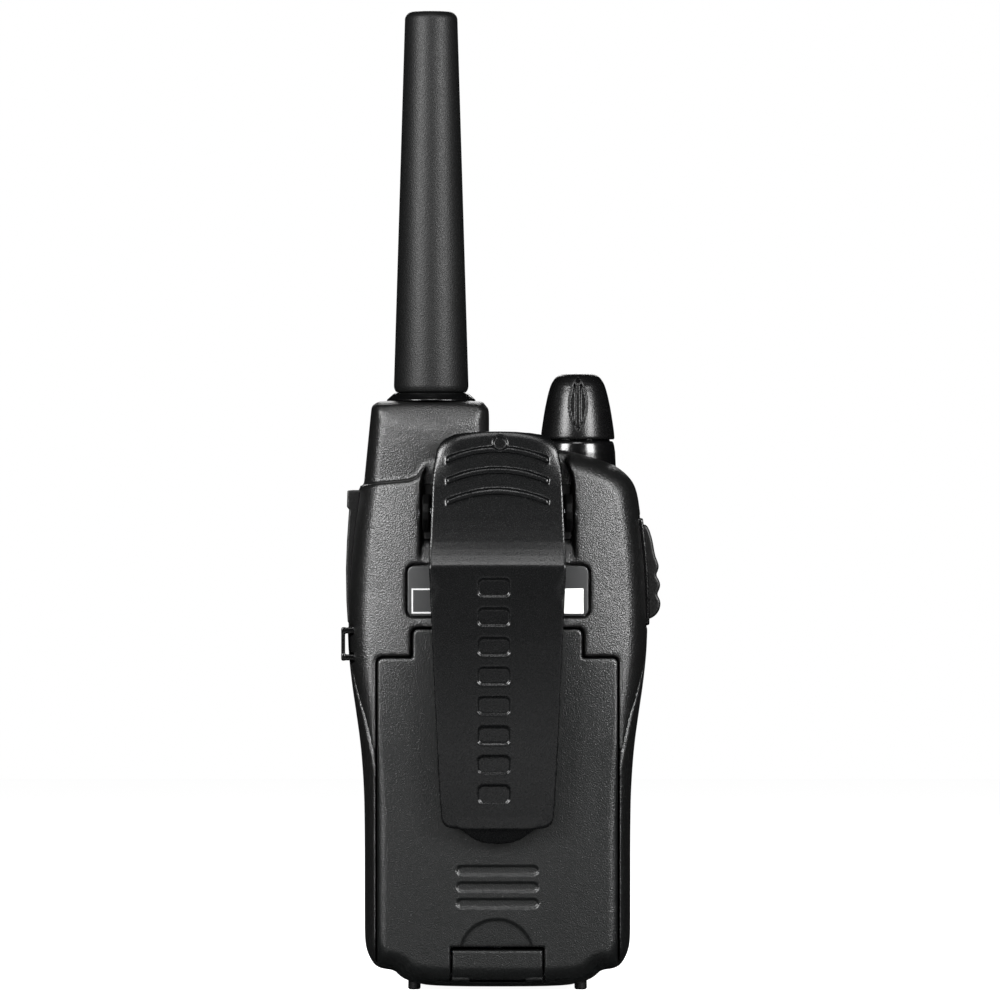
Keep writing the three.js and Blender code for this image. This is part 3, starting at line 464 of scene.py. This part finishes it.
def casing_field(g):
    """Outside of the whole casing: the body, the antenna tower and the recess behind the clip."""
    flat = polygon(TOWER_OUTLINE, g.x, g.z)
    lean = 0.010 * (g.x - ANTENNA_X) ** 2 + 0.035 * np.maximum(110 - g.z, 0) - 0.1
    lengthwise = np.maximum((g.y + lean - TOWER_BACK) / 2, TOP_AXIS_Y - 11 - g.y) + TOWER_ROUND
    outside = np.sqrt(np.maximum(flat + TOWER_ROUND, 0) ** 2 + np.maximum(lengthwise, 0) ** 2)
    tower = np.minimum(np.maximum(flat + TOWER_ROUND, lengthwise), 0) + outside - TOWER_ROUND
    chamfer = (g.y - TOWER_BACK + 0.2) * 0.906 + (g.z - 113.9) * 0.423
    tower = meet(tower, chamfer, 0.6)
    trench_side = polygon(TRENCH_FLOOR + [(30, 125), (30, 85.4)], g.y, g.z)
    half = np.interp(g.z, [101.5, 103.5, 105.8], [TRENCH_HALF, TRENCH_HALF - 0.3, 13.9])
    trench = np.maximum(trench_side, np.abs(g.x) - half)
    return join(cut(body_field(g), trench, 1.0), tower, 0.5)


def cavity_field(g):
    reach = polygon([(-40, 0), (40, 0), (40, 67.8), (BACK - 4.4, 67.8), (BACK - 4.4, 84), (5.6, 93),
                     (4.6, 101), (-40, 101)], g.y, g.z)
    return np.maximum(inner_body(g, WALL), reach)


def cover_opening(g, margin):
    below = 5
    middle, height = (COVER_TOP - below) / 2, COVER_TOP + below + 2 * margin
    main = round_rect(g.x, g.z, (0, middle), 2 * (COVER_HALF + margin), height, 1.2)
    main = prism(main, g.y, 7.3 - margin, 40)
    tab = round_rect(g.x, g.z, (0, TAB_TOP - 12.5), 2 * (COVER_TAB_HALF + margin), 25 + 2 * margin, 1.2)
    tab = prism(tab, g.y, BACK - COVER_THICKNESS - margin, 40)
    return join(main, tab)


def openings(g):
    """What both casing halves are cut by: knob seat, antenna seat, talk button and jack cover."""
    seat = prism(circle(g.x, g.y, (KNOB_X, TOP_AXIS_Y), 8.0), g.z, 103, 140)
    seat = join(seat, prism(circle(g.x, g.y, (KNOB_X, TOP_AXIS_Y), 3.7), g.z, 95, 105))
    seat = join(seat, prism(circle(g.x, g.y, (ANTENNA_X, TOP_AXIS_Y), 5.3), g.z, 95, 140))
    button = block(g, (-50, -22), (-7.5, 3.5), (72.8, 95.0), 0.4)
    flap = np.maximum(side_at(g.z) - 1.1 - g.x, block(g, (20, 50), (-8.3, 3.5), (72.9, 100.6)))
    jacks = join(circle(g.y, g.z, (-2.4, 93), 3.9), circle(g.y, g.z, (-2.4, 82), 3.5))
    jacks = prism(jacks, g.x, 18, 40)
    return join(join(seat, button), join(flap, jacks))


def seam_field(g, margin):
    """Negative behind the seam between the casing halves."""
    return polygon(SEAM + [(60, 130), (60, 33)], g.y, g.z) + margin


def seam_gap(g):
    """Half the clearance at the seam: open in the skin and all but closed deeper in."""
    return np.where(casing_field(g) > -1.0, GAP / 2, 0.02)


def casing_shell(g):
    shell = cut(casing_field(g), cavity_field(g))
    shell = cut(shell, cover_opening(g, GAP), 0.35)
    return cut(shell, openings(g), 0.4)


def front_casing(g):
    field = meet(casing_shell(g), -seam_field(g, -seam_gap(g)), 0.35)
    holes = None
    for i in range(-3, 4):
        length = 2 * math.sqrt(SPEAKER_RADIUS ** 2 - (i * SLOT_PITCH) ** 2)
        slot = round_rect(g.x, g.z, (0, SPEAKER_Z + i * SLOT_PITCH), length, 1.5, 0.74)
        holes = slot if holes is None else join(holes, slot)
    for x in KEY_COLUMNS:
        for z in KEY_ROWS:
            holes = join(holes, round_rect(g.x, g.z, (x, z), KEY_WIDTH + 0.6, KEY_HEIGHT + 0.6, 2.9))
    holes = join(holes, circle(g.x, g.z, (18, 50), 0.8))
    holes = join(holes, round_rect(g.x, g.z, (0, BEZEL_Z), BEZEL_WIDTH - 8, BEZEL_HEIGHT - 8, 0.8))
    field = cut(field, prism(holes, g.y, FRONT - 4, FRONT + WALL + 1), 0.5)
    seat = round_rect(g.x, g.z, (0, BEZEL_Z), BEZEL_WIDTH + 0.6, BEZEL_HEIGHT + 0.6, 3.3)
    field = cut(field, prism(seat, g.y, FRONT - 4, FRONT + 1.0), 0.4)
    for x, z in SCREWS:
        post = prism(circle(g.x, g.z, (x, z), 2.4), g.y, FRONT + 1.6, -6.3)
        field = cut(join(field, post, 0.6), prism(circle(g.x, g.z, (x, z), 1.2), g.y, -14.2, -5))
    for x, y in FEET:
        field = cut(field, prism(circle(g.x, g.y, (x, y), 1.55), g.z, -3, 2.3))
    return field


def battery_tub(g):
    """The tray that holds the three cells, and the yoke that carries the cover's upper end."""
    outside = block(g, (-COVER_HALF, COVER_HALF), (-6, 9.2), (6, 67.8))
    inside = block(g, (-22.68, 22.68), (-4.6, 40), (7.4, 65.6), 0.8)
    allowed = polygon(BODY_OUTLINE, g.x, g.z) + WALL + GAP
    tub = np.maximum(cut(outside, inside, 0.3), allowed)
    yoke = np.maximum(block(g, (-27.75, 27.75), (0.6, 9.2), (65.6, 68.4)), body_field(g) + 1)
    return join(tub, np.maximum(yoke, seam_field(g, GAP / 2)))


def label_outline(g, margin):
    return round_rect(g.x, g.z, LABEL_CENTRE, LABEL_WIDTH + 2 * margin, LABEL_HEIGHT + 2 * margin,
                      1.3 + margin)


def label_sheet(g):
    """A film that lies just under the body's surface, inside the label recess."""
    layer = np.abs(2 * body_field(g) + 0.6) - 0.25
    return meet(layer / 2, label_outline(g, 0), 0.1)


def rear_casing(g):
    field = meet(casing_shell(g), seam_field(g, seam_gap(g)), 0.35)
    field = join(field, battery_tub(g))
    field = cut(field, np.maximum(label_outline(g, 0.35), -0.5 - body_field(g)), 0.3)
    for x, z in SCREWS:
        field = cut(field, prism(circle(g.x, g.z, (x, z), 1.2), g.y, -9, -3))
    for low, high in ((66.1, 67.3), (71.5, 72.7)):
        field = cut(field, block(g, (27.3, 50), (3.4, 7.0), (low - GAP, high + GAP)))
    return field


# ---------------------------------------------------------------- battery cover and latch

def cover_skin(g):
    return cut(body_field(g), inner_body(g, COVER_THICKNESS))


def battery_cover(g):
    """The cover's skin with the latch's notch, the thumb hollow above it and three shallow grooves."""
    field = meet(cover_skin(g), cover_opening(g, 0), 0.35)
    notch = LATCH_HALF + GAP
    field = cut(field, block(g, (-notch, notch), (0, 40), (-5, LATCH_TOP + 0.55)), 0.3)
    hollow = BACK - 0.55 + 0.03 * np.maximum(g.z - LATCH_TOP, 0)
    dish = np.maximum(circle(g.x, g.z, (0.2, LATCH_TOP - 1.35), 7.35), hollow - g.y)
    field = cut(field, dish, 0.35)
    for side in (1, -1):
        near, far = sorted((side * notch, side * (notch + 1.6)))
        cheek = np.maximum(block(g, (near, far), (8.0, 11.2), (2.0, 4.6)), body_field(g) + 0.8)
        field = join(field, cheek)
    field = cut(field, prism(circle(g.y, g.z, LATCH_PIN, 0.9), g.x, -13, 13))
    for i in range(3):
        groove = round_rect(g.x, g.z, (0, GROOVE_LOW + GROOVE_PITCH * i), 16, 1.5, 0.74)
        field = cut(field, np.maximum(groove, BACK - GROOVE_DEPTH - g.y), 0.3)
    return field


def battery_latch(g):
    plate = block(g, (-LATCH_HALF, LATCH_HALF), (7.8, 40), (1.2, LATCH_TOP))
    field = meet(cover_skin(g), plate, 0.5)
    middle = prism(circle(g.y, g.z, LATCH_PIN, 1.3), g.x, 1 - LATCH_HALF, LATCH_HALF - 1)
    field = cut(field, middle)
    for side in (1, -1):
        ends = sorted((side * (LATCH_HALF - 3.5), side * LATCH_HALF))
        field = join(field, prism(circle(g.y, g.z, LATCH_PIN, 1.25), g.x, *ends))
        field = join(field, block(g, ends, (9.3, 11.2), (2.1, 3.9)))
    return cut(field, prism(circle(g.y, g.z, LATCH_PIN, 0.9), g.x, -13, 13))


# ---------------------------------------------------------------- belt clip

CLIP_TOP_HALF, CLIP_FOOT_HALF = CLIP_HALF * 0.934, CLIP_HALF * 0.838


def clip_outline():
    """The clip seen from the back: straight sides that narrow to the foot, and a rounded top."""
    top, foot = CLIP_TOP_HALF, CLIP_FOOT_HALF
    half = [(0, 32.6), (foot - 2.6, 32.6), (foot - 0.8, 33.3), (foot, 35.2), (CLIP_HALF - 0.1, 83.0),
            (CLIP_HALF, 85.2), (CLIP_HALF - 0.1, 87.4), (top, 106.6), (top - 0.2, 108.5),
            (top - 0.9, 109.6), (top - 2.1, 110.5), (top - 4.5, 111.5), (top - 8.0, 112.3), (0, 112.7)]
    return softened(half + [(-x, z) for x, z in reversed(half[1:-1])], 2)


def clip_band(g, outward, inward):
    """Signed distance to the bent strip of the clip, seen from the side."""
    face = [(y + outward, z) for y, z in CLIP_FACE]
    back = [(y - inward, z) for y, z in reversed(CLIP_FACE)]
    return polygon(face + back, g.y, g.z)


def clip_lever(g):
    """The bent blade with its thumb pad and ribs, the hook at its foot and the hinge's knuckles."""
    outline = polygon(clip_outline(), g.x, g.z)
    crown = 0.0018 * g.x ** 2
    face_drop = crown * np.clip((g.z - 84) / 6, 0, 1) + 0.5 * crown
    band = clip_band(g, 0, CLIP_THICKNESS)
    outside_line = (np.abs(g.x) - 13.5) * 0.904 - (g.z - 85.0) * 0.426
    above_line = (np.abs(g.x) - 11.3) * 0.929 + (g.z - 80.3) * 0.369
    facet = 0.1 * np.clip(np.minimum(outside_line, above_line) + 0.3, 0, 1.5) ** 1.5
    softness = 0.3 + 2.2 * np.clip((g.z - 103) / 6, 0, 1)
    shoulder = 0.030 * np.maximum(np.abs(g.x) - 8.0, 0) ** 2 * np.clip((g.z - 101) / 6, 0, 1)
    outside = band + 0.35 * face_drop + facet + shoulder
    field = meet(outside, outline - 0.25 * (softness - 0.3), softness)
    for middle in RIB_HEIGHTS:
        arc = middle - RIB_SAG * (g.x / RIB_HALF) ** 2
        strip = np.maximum(np.abs(g.z - arc) - 0.62, np.abs(g.x) - RIB_HALF)
        rib = meet(strip, clip_band(g, 0.5, 0.6) + 0.35 * face_drop, 0.45)
        field = join(field, rib, 0.1)
    hook_side = polygon([(16.2, 34.6), (16.3, 32.8), (15.2, 29.7), (13.6, 29.4), (12.9, 30.2),
                         (12.9, 31.6), (14.0, 33.0), (14.6, 35.0)], g.y, g.z)
    hook = meet(hook_side, circle(g.x, g.z, (0, 39.2), 9.8), 0.6)
    field = join(field, hook, 0.6)
    for side in (1, -1):
        ends = sorted((side * 6, side * 9))
        field = join(field, prism(circle(g.y, g.z, CLIP_PIN, 2.0), g.x, *ends))
        field = join(field, block(g, ends, (12, 14.9), (94, 98)))
    field = cut(field, prism(circle(g.y, g.z, CLIP_PIN, PIN_HOLE), g.x, -12, 12))
    near_face = -clip_band(g, -MARK_DEPTH, 30)
    dimple = np.maximum(circle(g.x, g.z, (-0.5, 109.6), 1.35), near_face)
    field = cut(field, dimple, 0.3)
    engraved = None
    for i in range(MARK_COUNT):
        mark = round_rect(g.x, g.z, (0.7, MARK_LOW + MARK_PITCH * i), 6.2, 3.4, 0.9)
        engraved = mark if engraved is None else join(engraved, mark)
    return cut(field, np.maximum(engraved, near_face), 0.25)


def clip_bracket(g):
    low = [(9.7, 90.5), (8.3, 95), (7.2, 103), (7.15, 103.5)]
    high = [(y + 1.3, z) for y, z in reversed(low)]
    base = prism(polygon(low + high, g.y, g.z), g.x, -14.8, 14.8, 0.3)
    base = np.maximum(base, g.z - 101.5)
    cheek = polygon([(9.6, 92), (8.9, 95), (8.2, 99.4), (10.5, 99.4), (13.9, 97.6), (14.4, 96),
                     (13.9, 94.4), (10.8, 92)], g.y, g.z)
    for ends in ((13.7, 14.85), (-14.85, -13.7)):
        base = join(base, prism(cheek + 0.2, g.x, *ends, 0.2) - 0.2, 0.3)
    return cut(base, prism(circle(g.y, g.z, CLIP_PIN, PIN_HOLE), g.x, -20, 20))


# ---------------------------------------------------------------- controls

def volume_knob(g):
    """A tapered cap with three almond-shaped finger flutes, each with a ridge down its middle."""
    r = np.hypot(g.x - KNOB_X, g.y - TOP_AXIS_Y)
    base = 7.45
    heights = [110.5, 112.2, 116.4, 119.6, 121.7, 123.1, 123.8]
    shares = [1.0, 0.985, 0.90, 0.81, 0.725, 0.60, 0.44]
    profile = [(0, 110.5), (base - 0.25, 110.5), (base, 110.75)]
    profile += [(base * share, z) for share, z in zip(shares[1:], heights[1:])] + [(0, 123.85)]
    field = polygon(softened(profile, 1, 0.2), r, g.z)
    for i in range(3):
        angle = math.pi / 2 + i * 2 * math.pi / 3
        out = (g.x - KNOB_X) * math.cos(angle) + (g.y - TOP_AXIS_Y) * math.sin(angle)
        side = (g.y - TOP_AXIS_Y) * math.cos(angle) - (g.x - KNOB_X) * math.sin(angle)
        face = base * np.interp(g.z, heights, shares)
        rise = (g.z - 117.6) / 5.4
        width = 1.7 * (1 - rise ** 2)
        almond = np.maximum((np.abs(side) - width) * 0.8, face - 0.85 - out)
        ridge = np.maximum(np.maximum(np.abs(side) - 0.5, out - face + 0.22), np.abs(rise) * 5.4 - 4.6)
        field = cut(field, cut(almond, ridge, 0.25), 0.25)
    underside = np.maximum(r - 6.75, g.z - 111.3)
    bore = np.maximum(r - 3.0, g.z - 121.3)
    return cut(field, join(bore, underside))


def talk_button(g):
    low, high = 74.3, 93.5
    face = [(29.0, low), (30.6, low), (31.9, low + 0.8), (32.6, low + 1.9), (32.85, low + 3.0),
            (32.7, low + 3.9), (32.1, low + 5.0), (32.6, low + 6.1), (32.8, low + 6.9),
            (32.55, low + 7.8), (31.9, low + 8.9), (32.35, low + 9.9), (32.5, low + 10.7),
            (32.2, low + 11.7), (31.7, low + 12.9), (31.2, low + 16), (30.4, high - 0.7),
            (29.6, high), (26.4, high), (26.4, low)]
    field = prism(polygon(softened(face, 1), -g.x, g.z), g.y, -6.0, 2.0, 0.5)
    flange = block(g, (-27.0, -26.1), (-6.7, 2.7), (73.5, 94.1))
    return join(field, flange)


def talk_frame(g):
    strip = np.maximum(-g.x - side_at(g.z) - 0.35, side_at(g.z) - 1.6 + g.x)
    field = meet(strip, block(g, (-40, -20), (-7.2, 3.2), (73.1, 94.7), 0.6), 0.4)
    return cut(field, block(g, (-40, -20), (-6.3, 2.3), (74.0, 93.8), 0.4), 0.3)


def jack_cover(g):
    outer = [(30.15, 73.9), (30.4, 78), (30.5, 84.4), (30.3, 90), (29.95, 95.3), (29.85, 96.4),
             (30.3, 96.9), (30.2, 100.2), (29.2, 100.3)]
    inner = [(27.3, 100.3), (28.05, 95), (28.78, 89), (29.2, 84), (29.45, 78), (29.4, 73.9)]
    foot = [(29.5, 73.55), (29.95, 73.5)]
    flat = polygon(outer + inner + foot, g.x, g.z)
    field = prism(flat, g.y, -8.0, 3.2, 0.2)
    grip = np.maximum(np.abs(g.z - 98.2) - 0.35, 29.6 - g.x)
    return cut(field, np.maximum(grip, np.abs(g.y + 2.4) - 3.6), 0.3)


def lanyard_loop(g):
    bar = block(g, (30.62, 31.37), (3.7, 6.7), (66.1, 72.7), 0.3)
    for low, high in ((66.1, 67.3), (71.5, 72.7)):
        bar = join(bar, block(g, (27.7, 31.2), (3.7, 6.7), (low, high), 0.25), 0.3)
    return bar


def display_bezel(g):
    outside = prism(round_rect(g.x, g.z, (0, BEZEL_Z), BEZEL_WIDTH, BEZEL_HEIGHT, 3), g.y,
                    FRONT - 1.2, FRONT + 0.7, 0.5)
    inside = round_rect(g.x, g.z, (0, BEZEL_Z), BEZEL_WIDTH - 6, BEZEL_HEIGHT - 6, 0.8)
    return cut(outside, prism(inside, g.y, FRONT - 4, FRONT + 4), 0.4)


def key_cap(x, z):
    def build(g):
        cap = prism(round_rect(g.x, g.z, (x, z), KEY_WIDTH, KEY_HEIGHT, 2.6), g.y,
                    FRONT - 1.0, FRONT + 3.0, 0.6)
        flange = prism(round_rect(g.x, g.z, (x, z), KEY_WIDTH + 1.4, KEY_HEIGHT + 1.4, 3), g.y,
                       -15.9, -15.2)
        mark = round_rect(g.x, g.z, (x, z), 3.4, 0.7, 0.3)
        return cut(join(cap, flange), prism(mark, g.y, FRONT - 2, FRONT - 0.75), 0.2)
    return build


# ---------------------------------------------------------------- turned pieces

def filleted(profile, radius, steps=4):
    """The profile with every inner corner replaced by a small arc-like curve."""
    points = [profile[0]]
    for before, here, after in zip(profile, profile[1:], profile[2:]):
        to_before = math.dist(before, here)
        to_after = math.dist(here, after)
        reach = min(radius, 0.45 * to_before, 0.45 * to_after)
        a = [h + (b - h) * reach / to_before for h, b in zip(here, before)]
        c = [h + (b - h) * reach / to_after for h, b in zip(here, after)]
        for i in range(steps + 1):
            t = i / steps
            points.append(tuple((1 - t) ** 2 * p + 2 * t * (1 - t) * q + t * t * r
                                for p, q, r in zip(a, here, c)))
    points.append(profile[-1])
    return points


def turned(name, profile, axis, body, material, *nodes, segments=96):
    """A closed turned piece; the profile runs from the axis, or from its own start, and back."""
    mesh = bmesh.new()
    rings = []
    for radius, z in profile:
        if radius < 1e-6:
            rings.append([mesh.verts.new((axis[0] * MM, axis[1] * MM, z * MM))])
            continue
        ring = []
        for i in range(segments):
            angle = 2 * math.pi * i / segments
            ring.append(mesh.verts.new(((axis[0] + radius * math.cos(angle)) * MM,
                                        (axis[1] + radius * math.sin(angle)) * MM, z * MM)))
        rings.append(ring)
    closed = len(rings[0]) > 1
    pairs = list(zip(rings, rings[1:])) + ([(rings[-1], rings[0])] if closed else [])
    for low, high in pairs:
        for i in range(segments):
            j = (i + 1) % segments
            corners = [low[i % len(low)], low[j % len(low)], high[j % len(high)], high[i % len(high)]]
            unique = list(dict.fromkeys(corners))
            if len(unique) > 2:
                mesh.faces.new(unique)
    bmesh.ops.recalc_face_normals(mesh, faces=mesh.faces)
    data = bpy.data.meshes.new(name)
    mesh.to_mesh(data)
    mesh.free()
    data.shade_smooth()
    piece = bpy.data.objects.new(name, data)
    bpy.context.scene.collection.objects.link(piece)
    return dress(piece, body, material, *nodes)


# ---------------------------------------------------------------- build the pieces

solid("casing_front", (-30.4, FRONT, 0.3), (30.4, 12.2, 118.2), 0.45, front_casing, "radio", GRAINED,
      "front_casing")
solid("casing_rear", (-30.4, -6.2, 5.8), (30.4, BACK, 118.2), 0.40, rear_casing, "radio", GRAINED,
      "rear_casing")
solid("cover_back", (-24.2, 7.0, 0.3), (24.2, 12.8, 72.6), 0.30, battery_cover, "cover", COVER,
      "battery_cover")
solid("cover_latch", (-9.2, 7.6, 1.0), (9.2, 12.6, 8.5), 0.18, battery_latch, "latch", COVER,
      "battery_latch")
solid("clip_blade", (-13.8, 9.8, 29.2), (13.8, 20.2, 112.5), 0.25, clip_lever, "clip", SATIN,
      "clip_lever", faces=150_000)
# The clip's seat is given the near-black plastic with painted shade, to match the shadowed trench.
solid("clip_seat", (-15.1, 7.0, 90.3), (15.1, 14.6, 103.7), 0.22, clip_bracket, "clip_base", SHADED_SEAT_PLASTIC,
      "clip_bracket")
solid("label_film_sheet", (-18.6, 9.0, 74.6), (18.4, 12.4, 85.6), 0.14, label_sheet, "radio", LABEL,
      "label_plate")
solid("knob_cap", (-23.9, -12.2, 110.4), (-8.5, 3.2, 124.0), 0.16, volume_knob, "knob", KNOB,
      "volume_knob")
solid("talk_pad", (-33.0, -6.9, 73.3), (-25.9, 2.9, 94.3), 0.2, talk_button, "talk_button", RUBBER,
      "ptt_button")
solid("talk_rim", (-30.8, -7.4, 72.9), (-27.0, 3.4, 94.9), 0.2, talk_frame, "radio", SMOOTH,
      "ptt_frame")
solid("jack_flap", (27.1, -8.2, 73.3), (30.8, 3.4, 100.5), 0.2, jack_cover, "flap", RUBBER,
      "jack_cover")
solid("lanyard_bar", (27.5, 3.5, 65.9), (31.6, 6.9, 72.9), 0.14, lanyard_loop, "radio", SMOOTH,
      "lanyard_loop")
solid("display_rim", (-19.2, FRONT - 1.4, 76.8), (19.2, FRONT + 0.9, 101.2), 0.25, display_bezel,
      "radio", SMOOTH, "display_bezel")
for row, z in enumerate(KEY_ROWS):
    for column, x in enumerate(KEY_COLUMNS):
        number = row * len(KEY_COLUMNS) + column + 1
        solid(f"keypad_cap_{number}", (x - 6.4, FRONT - 1.1, z - 4.1), (x + 6.4, -15.0, z + 4.1), 0.22,
              key_cap(x, z), f"keypad_key_{number}", KEYS, f"key_{number}")

turned("antenna_rubber_sleeve", filleted([
    (1.5, 120.0), (7.1, 120.0), (7.55, 121.0), (5.3, 195.9), (4.4, 196.9), (0, 196.9)], 0.7, 6) + [
    (0, 189.9), (1.5, 189.9)], (ANTENNA_X, TOP_AXIS_Y), "radio", ANTENNA, "antenna_sleeve")
turned("antenna_collar_ring", filleted([
    (1.5, 106), (5, 106), (5, 118.3), (9.0, 118.3), (8.9, 118.6), (7.6, 119.75), (7.2, 119.95),
    (1.5, 119.95)], 0.25), (ANTENNA_X, TOP_AXIS_Y), "radio", SMOOTH, "antenna_collar")
turned("knob_skirt", filleted([
    (3.7, 103.3), (7.7, 103.3), (7.7, 105.2), (7.58, 108), (7.3, 109.7), (7.0, 110.2), (6.45, 110.2),
    (6.45, 110.95), (3.7, 110.95)], 0.3), (KNOB_X, TOP_AXIS_Y), "radio", SMOOTH, "knob_base_ring")


# ---------------------------------------------------------------- finishes for the CAD nodes that stay

def glass_material(name, colour, roughness):
    material, nodes, links, shader, place = new_material(name)
    haze = noise(nodes, links, place, 120, 3)
    links.new(ramp(nodes, links, haze, tuple(0.85 * c for c in colour), colour),
              shader.inputs["Base Color"])
    links.new(ramp(nodes, links, haze, roughness * 0.7, roughness * 1.4), shader.inputs["Roughness"])
    shader.inputs["Coat Weight"].default_value = 0.6
    return material


def finish_node(node, material, bevel=0.0):
    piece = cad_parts[node]
    piece.data.materials.clear()
    piece.data.materials.append(material[0])
    if bevel:
        step = piece.modifiers.new("edge", "BEVEL")
        step.width = bevel * MM
        step.segments = 2
        step.limit_method = "ANGLE"
        step.angle_limit = math.radians(40)


LENS = (glass_material("display_glass", (0.05, 0.065, 0.055), 0.06), "display_glass")
CRYSTAL = (glass_material("liquid_crystal", (0.16, 0.20, 0.15), 0.3), "display_glass_module")
BOARD = (moulded("circuit_board", (0.01, 0.10, 0.035), (0.015, 0.14, 0.05), (0.35, 0.5), 0.8, 0.02),
         "circuit_board")
PAPER = (moulded("speaker_paper", (0.03, 0.027, 0.024), (0.045, 0.04, 0.036), (0.8, 0.95), 0.4, 0.05),
         "speaker_paper")
MAGNET = (metal("magnet_iron", (0.22, 0.22, 0.23), 0.5), "magnet_iron")
WRAP = (moulded("cell_wrap", (0.03, 0.10, 0.30), (0.04, 0.12, 0.36), (0.25, 0.35), 0.5, 0.005),
        "cell_wrap")
BLACK = (moulded("switch_plastic", (0.010, 0.010, 0.011), (0.014, 0.014, 0.015), (0.4, 0.55), 0.3,
                 0.01), "switch_plastic")

FINISHES = {
    "battery_latch_pin": (STEEL, 0.1), "antenna_core": (STEEL, 0),
    "volume_shaft": (STEEL, 0.2), "volume_potentiometer": (STEEL, 0.2), "ptt_switch": (BLACK, 0.2),
    "speaker_mic_jack": (BLACK, 0.15), "charge_jack": (BLACK, 0.15), "display_lens": (LENS, 0.2),
    "display_module": (CRYSTAL, 0.2), "keypad_membrane": (KEYS, 0.1), "main_board": (BOARD, 0.1),
    "shield_can": (STEEL, 0.2), "speaker_frame": (STEEL, 0), "speaker_cone": (PAPER, 0),
    "speaker_magnet": (MAGNET, 0.3), "microphone": (STEEL, 0.2), "battery_contact": (STEEL, 0.1),
    "clip_hinge_pin": (STEEL, 0.15), "clip_torsion_spring": (STEEL, 0),
}
FINISHES.update({f"battery_cell_{i}": (WRAP, 0.3) for i in (1, 2, 3)})
FINISHES.update({f"battery_spring_{i}": (STEEL, 0) for i in (1, 2, 3)})
FINISHES.update({f"case_screw_{i}": (STEEL, 0.1) for i in (1, 2, 3, 4)})
FINISHES.update({f"foot_{i}": (RUBBER, 0.15) for i in (1, 2, 3, 4)})
for node, (material, bevel) in FINISHES.items():
    finish_node(node, material, bevel)


# ---------------------------------------------------------------- floor, light and camera

KEY_POWER, TOP_POWER, FAR_POWER, LOW_POWER = 19.8, 0.65, 1.2, 0.045


def stage_floor():
    material, nodes, links, shader, place = new_material("pale_floor")
    drift = noise(nodes, links, place, 3)
    links.new(ramp(nodes, links, drift, 0.86, 0.88), shader.inputs["Base Color"])
    shader.inputs["Roughness"].default_value = 0.4
    shader.inputs["Emission Color"].default_value = (1, 1, 1, 1)
    shader.inputs["Emission Strength"].default_value = 0.95
    bpy.ops.mesh.primitive_plane_add(size=2.4)
    floor = bpy.context.object
    floor.name = "studio_floor"
    floor.data.materials.append(material)
    floor.visible_glossy = False


def softbox(name, place, aim, size, power):
    light = bpy.data.lights.new(name, "AREA")
    light.shape = "RECTANGLE"
    light.size, light.size_y = size
    light.energy = power
    lamp = bpy.data.objects.new(name, light)
    bpy.context.scene.collection.objects.link(lamp)
    lamp.location = place
    direction = [a - p for a, p in zip(aim, place)]
    lamp.rotation_euler = look(direction)
    lamp.visible_camera = False
    return lamp


def look(direction):
    """Rotation that points an object's -Z along a direction with +Y up."""
    return Vector(direction).to_track_quat("-Z", "Y").to_euler()


def studio_world():
    """White where the camera sees it, and a dim grey surround for everything else."""
    world = bpy.data.worlds.new("studio")
    bpy.context.scene.world = world
    world.use_nodes = True
    nodes, links = world.node_tree.nodes, world.node_tree.links
    nodes.clear()
    out = nodes.new("ShaderNodeOutputWorld")
    seen, cast = nodes.new("ShaderNodeBackground"), nodes.new("ShaderNodeBackground")
    seen.inputs["Color"].default_value = (1, 1, 1, 1)
    seen.inputs["Strength"].default_value = 1.0
    cast.inputs["Color"].default_value = (1, 1, 1, 1)
    cast.inputs["Strength"].default_value = 0.003
    path, mix = nodes.new("ShaderNodeLightPath"), nodes.new("ShaderNodeMixShader")
    links.new(path.outputs["Is Camera Ray"], mix.inputs["Fac"])
    links.new(cast.outputs[0], mix.inputs[1])
    links.new(seen.outputs[0], mix.inputs[2])
    links.new(mix.outputs[0], out.inputs["Surface"])


stage_floor()
studio_world()
MIDDLE = (0, 0, 0.10)
for side in (1, -1):
    height = 0.22 + 0.02 * side
    softbox(f"side_box_{side}", (0.335 * side, 0.372, 0.162 + height / 2), MIDDLE, (0.20, height),
            KEY_POWER * height)
softbox("top_box", (0.0, 0.36, 0.52), MIDDLE, (0.20, 0.12), TOP_POWER)
softbox("low_box", (0.0, 0.20, 0.014), (0, 0, 0.03), (0.36, 0.022), LOW_POWER)
softbox("far_box", (0.0, -0.70, 0.42), MIDDLE, (0.30, 0.30), FAR_POWER)

CAMERA_DISTANCE = 1.6
VIEW_HEIGHT = 0.2015
SENSOR = 36.0
lens_camera = bpy.data.cameras.new("camera")
lens_camera.sensor_width = SENSOR
lens_camera.lens = SENSOR * CAMERA_DISTANCE / VIEW_HEIGHT
camera = bpy.data.objects.new("camera", lens_camera)
bpy.context.scene.collection.objects.link(camera)
camera.location = (-0.0005, CAMERA_DISTANCE, 0.0983)
camera.rotation_euler = look((0, -1, 0))
bpy.context.scene.camera = camera
bpy.context.scene.view_settings.view_transform = "Standard"
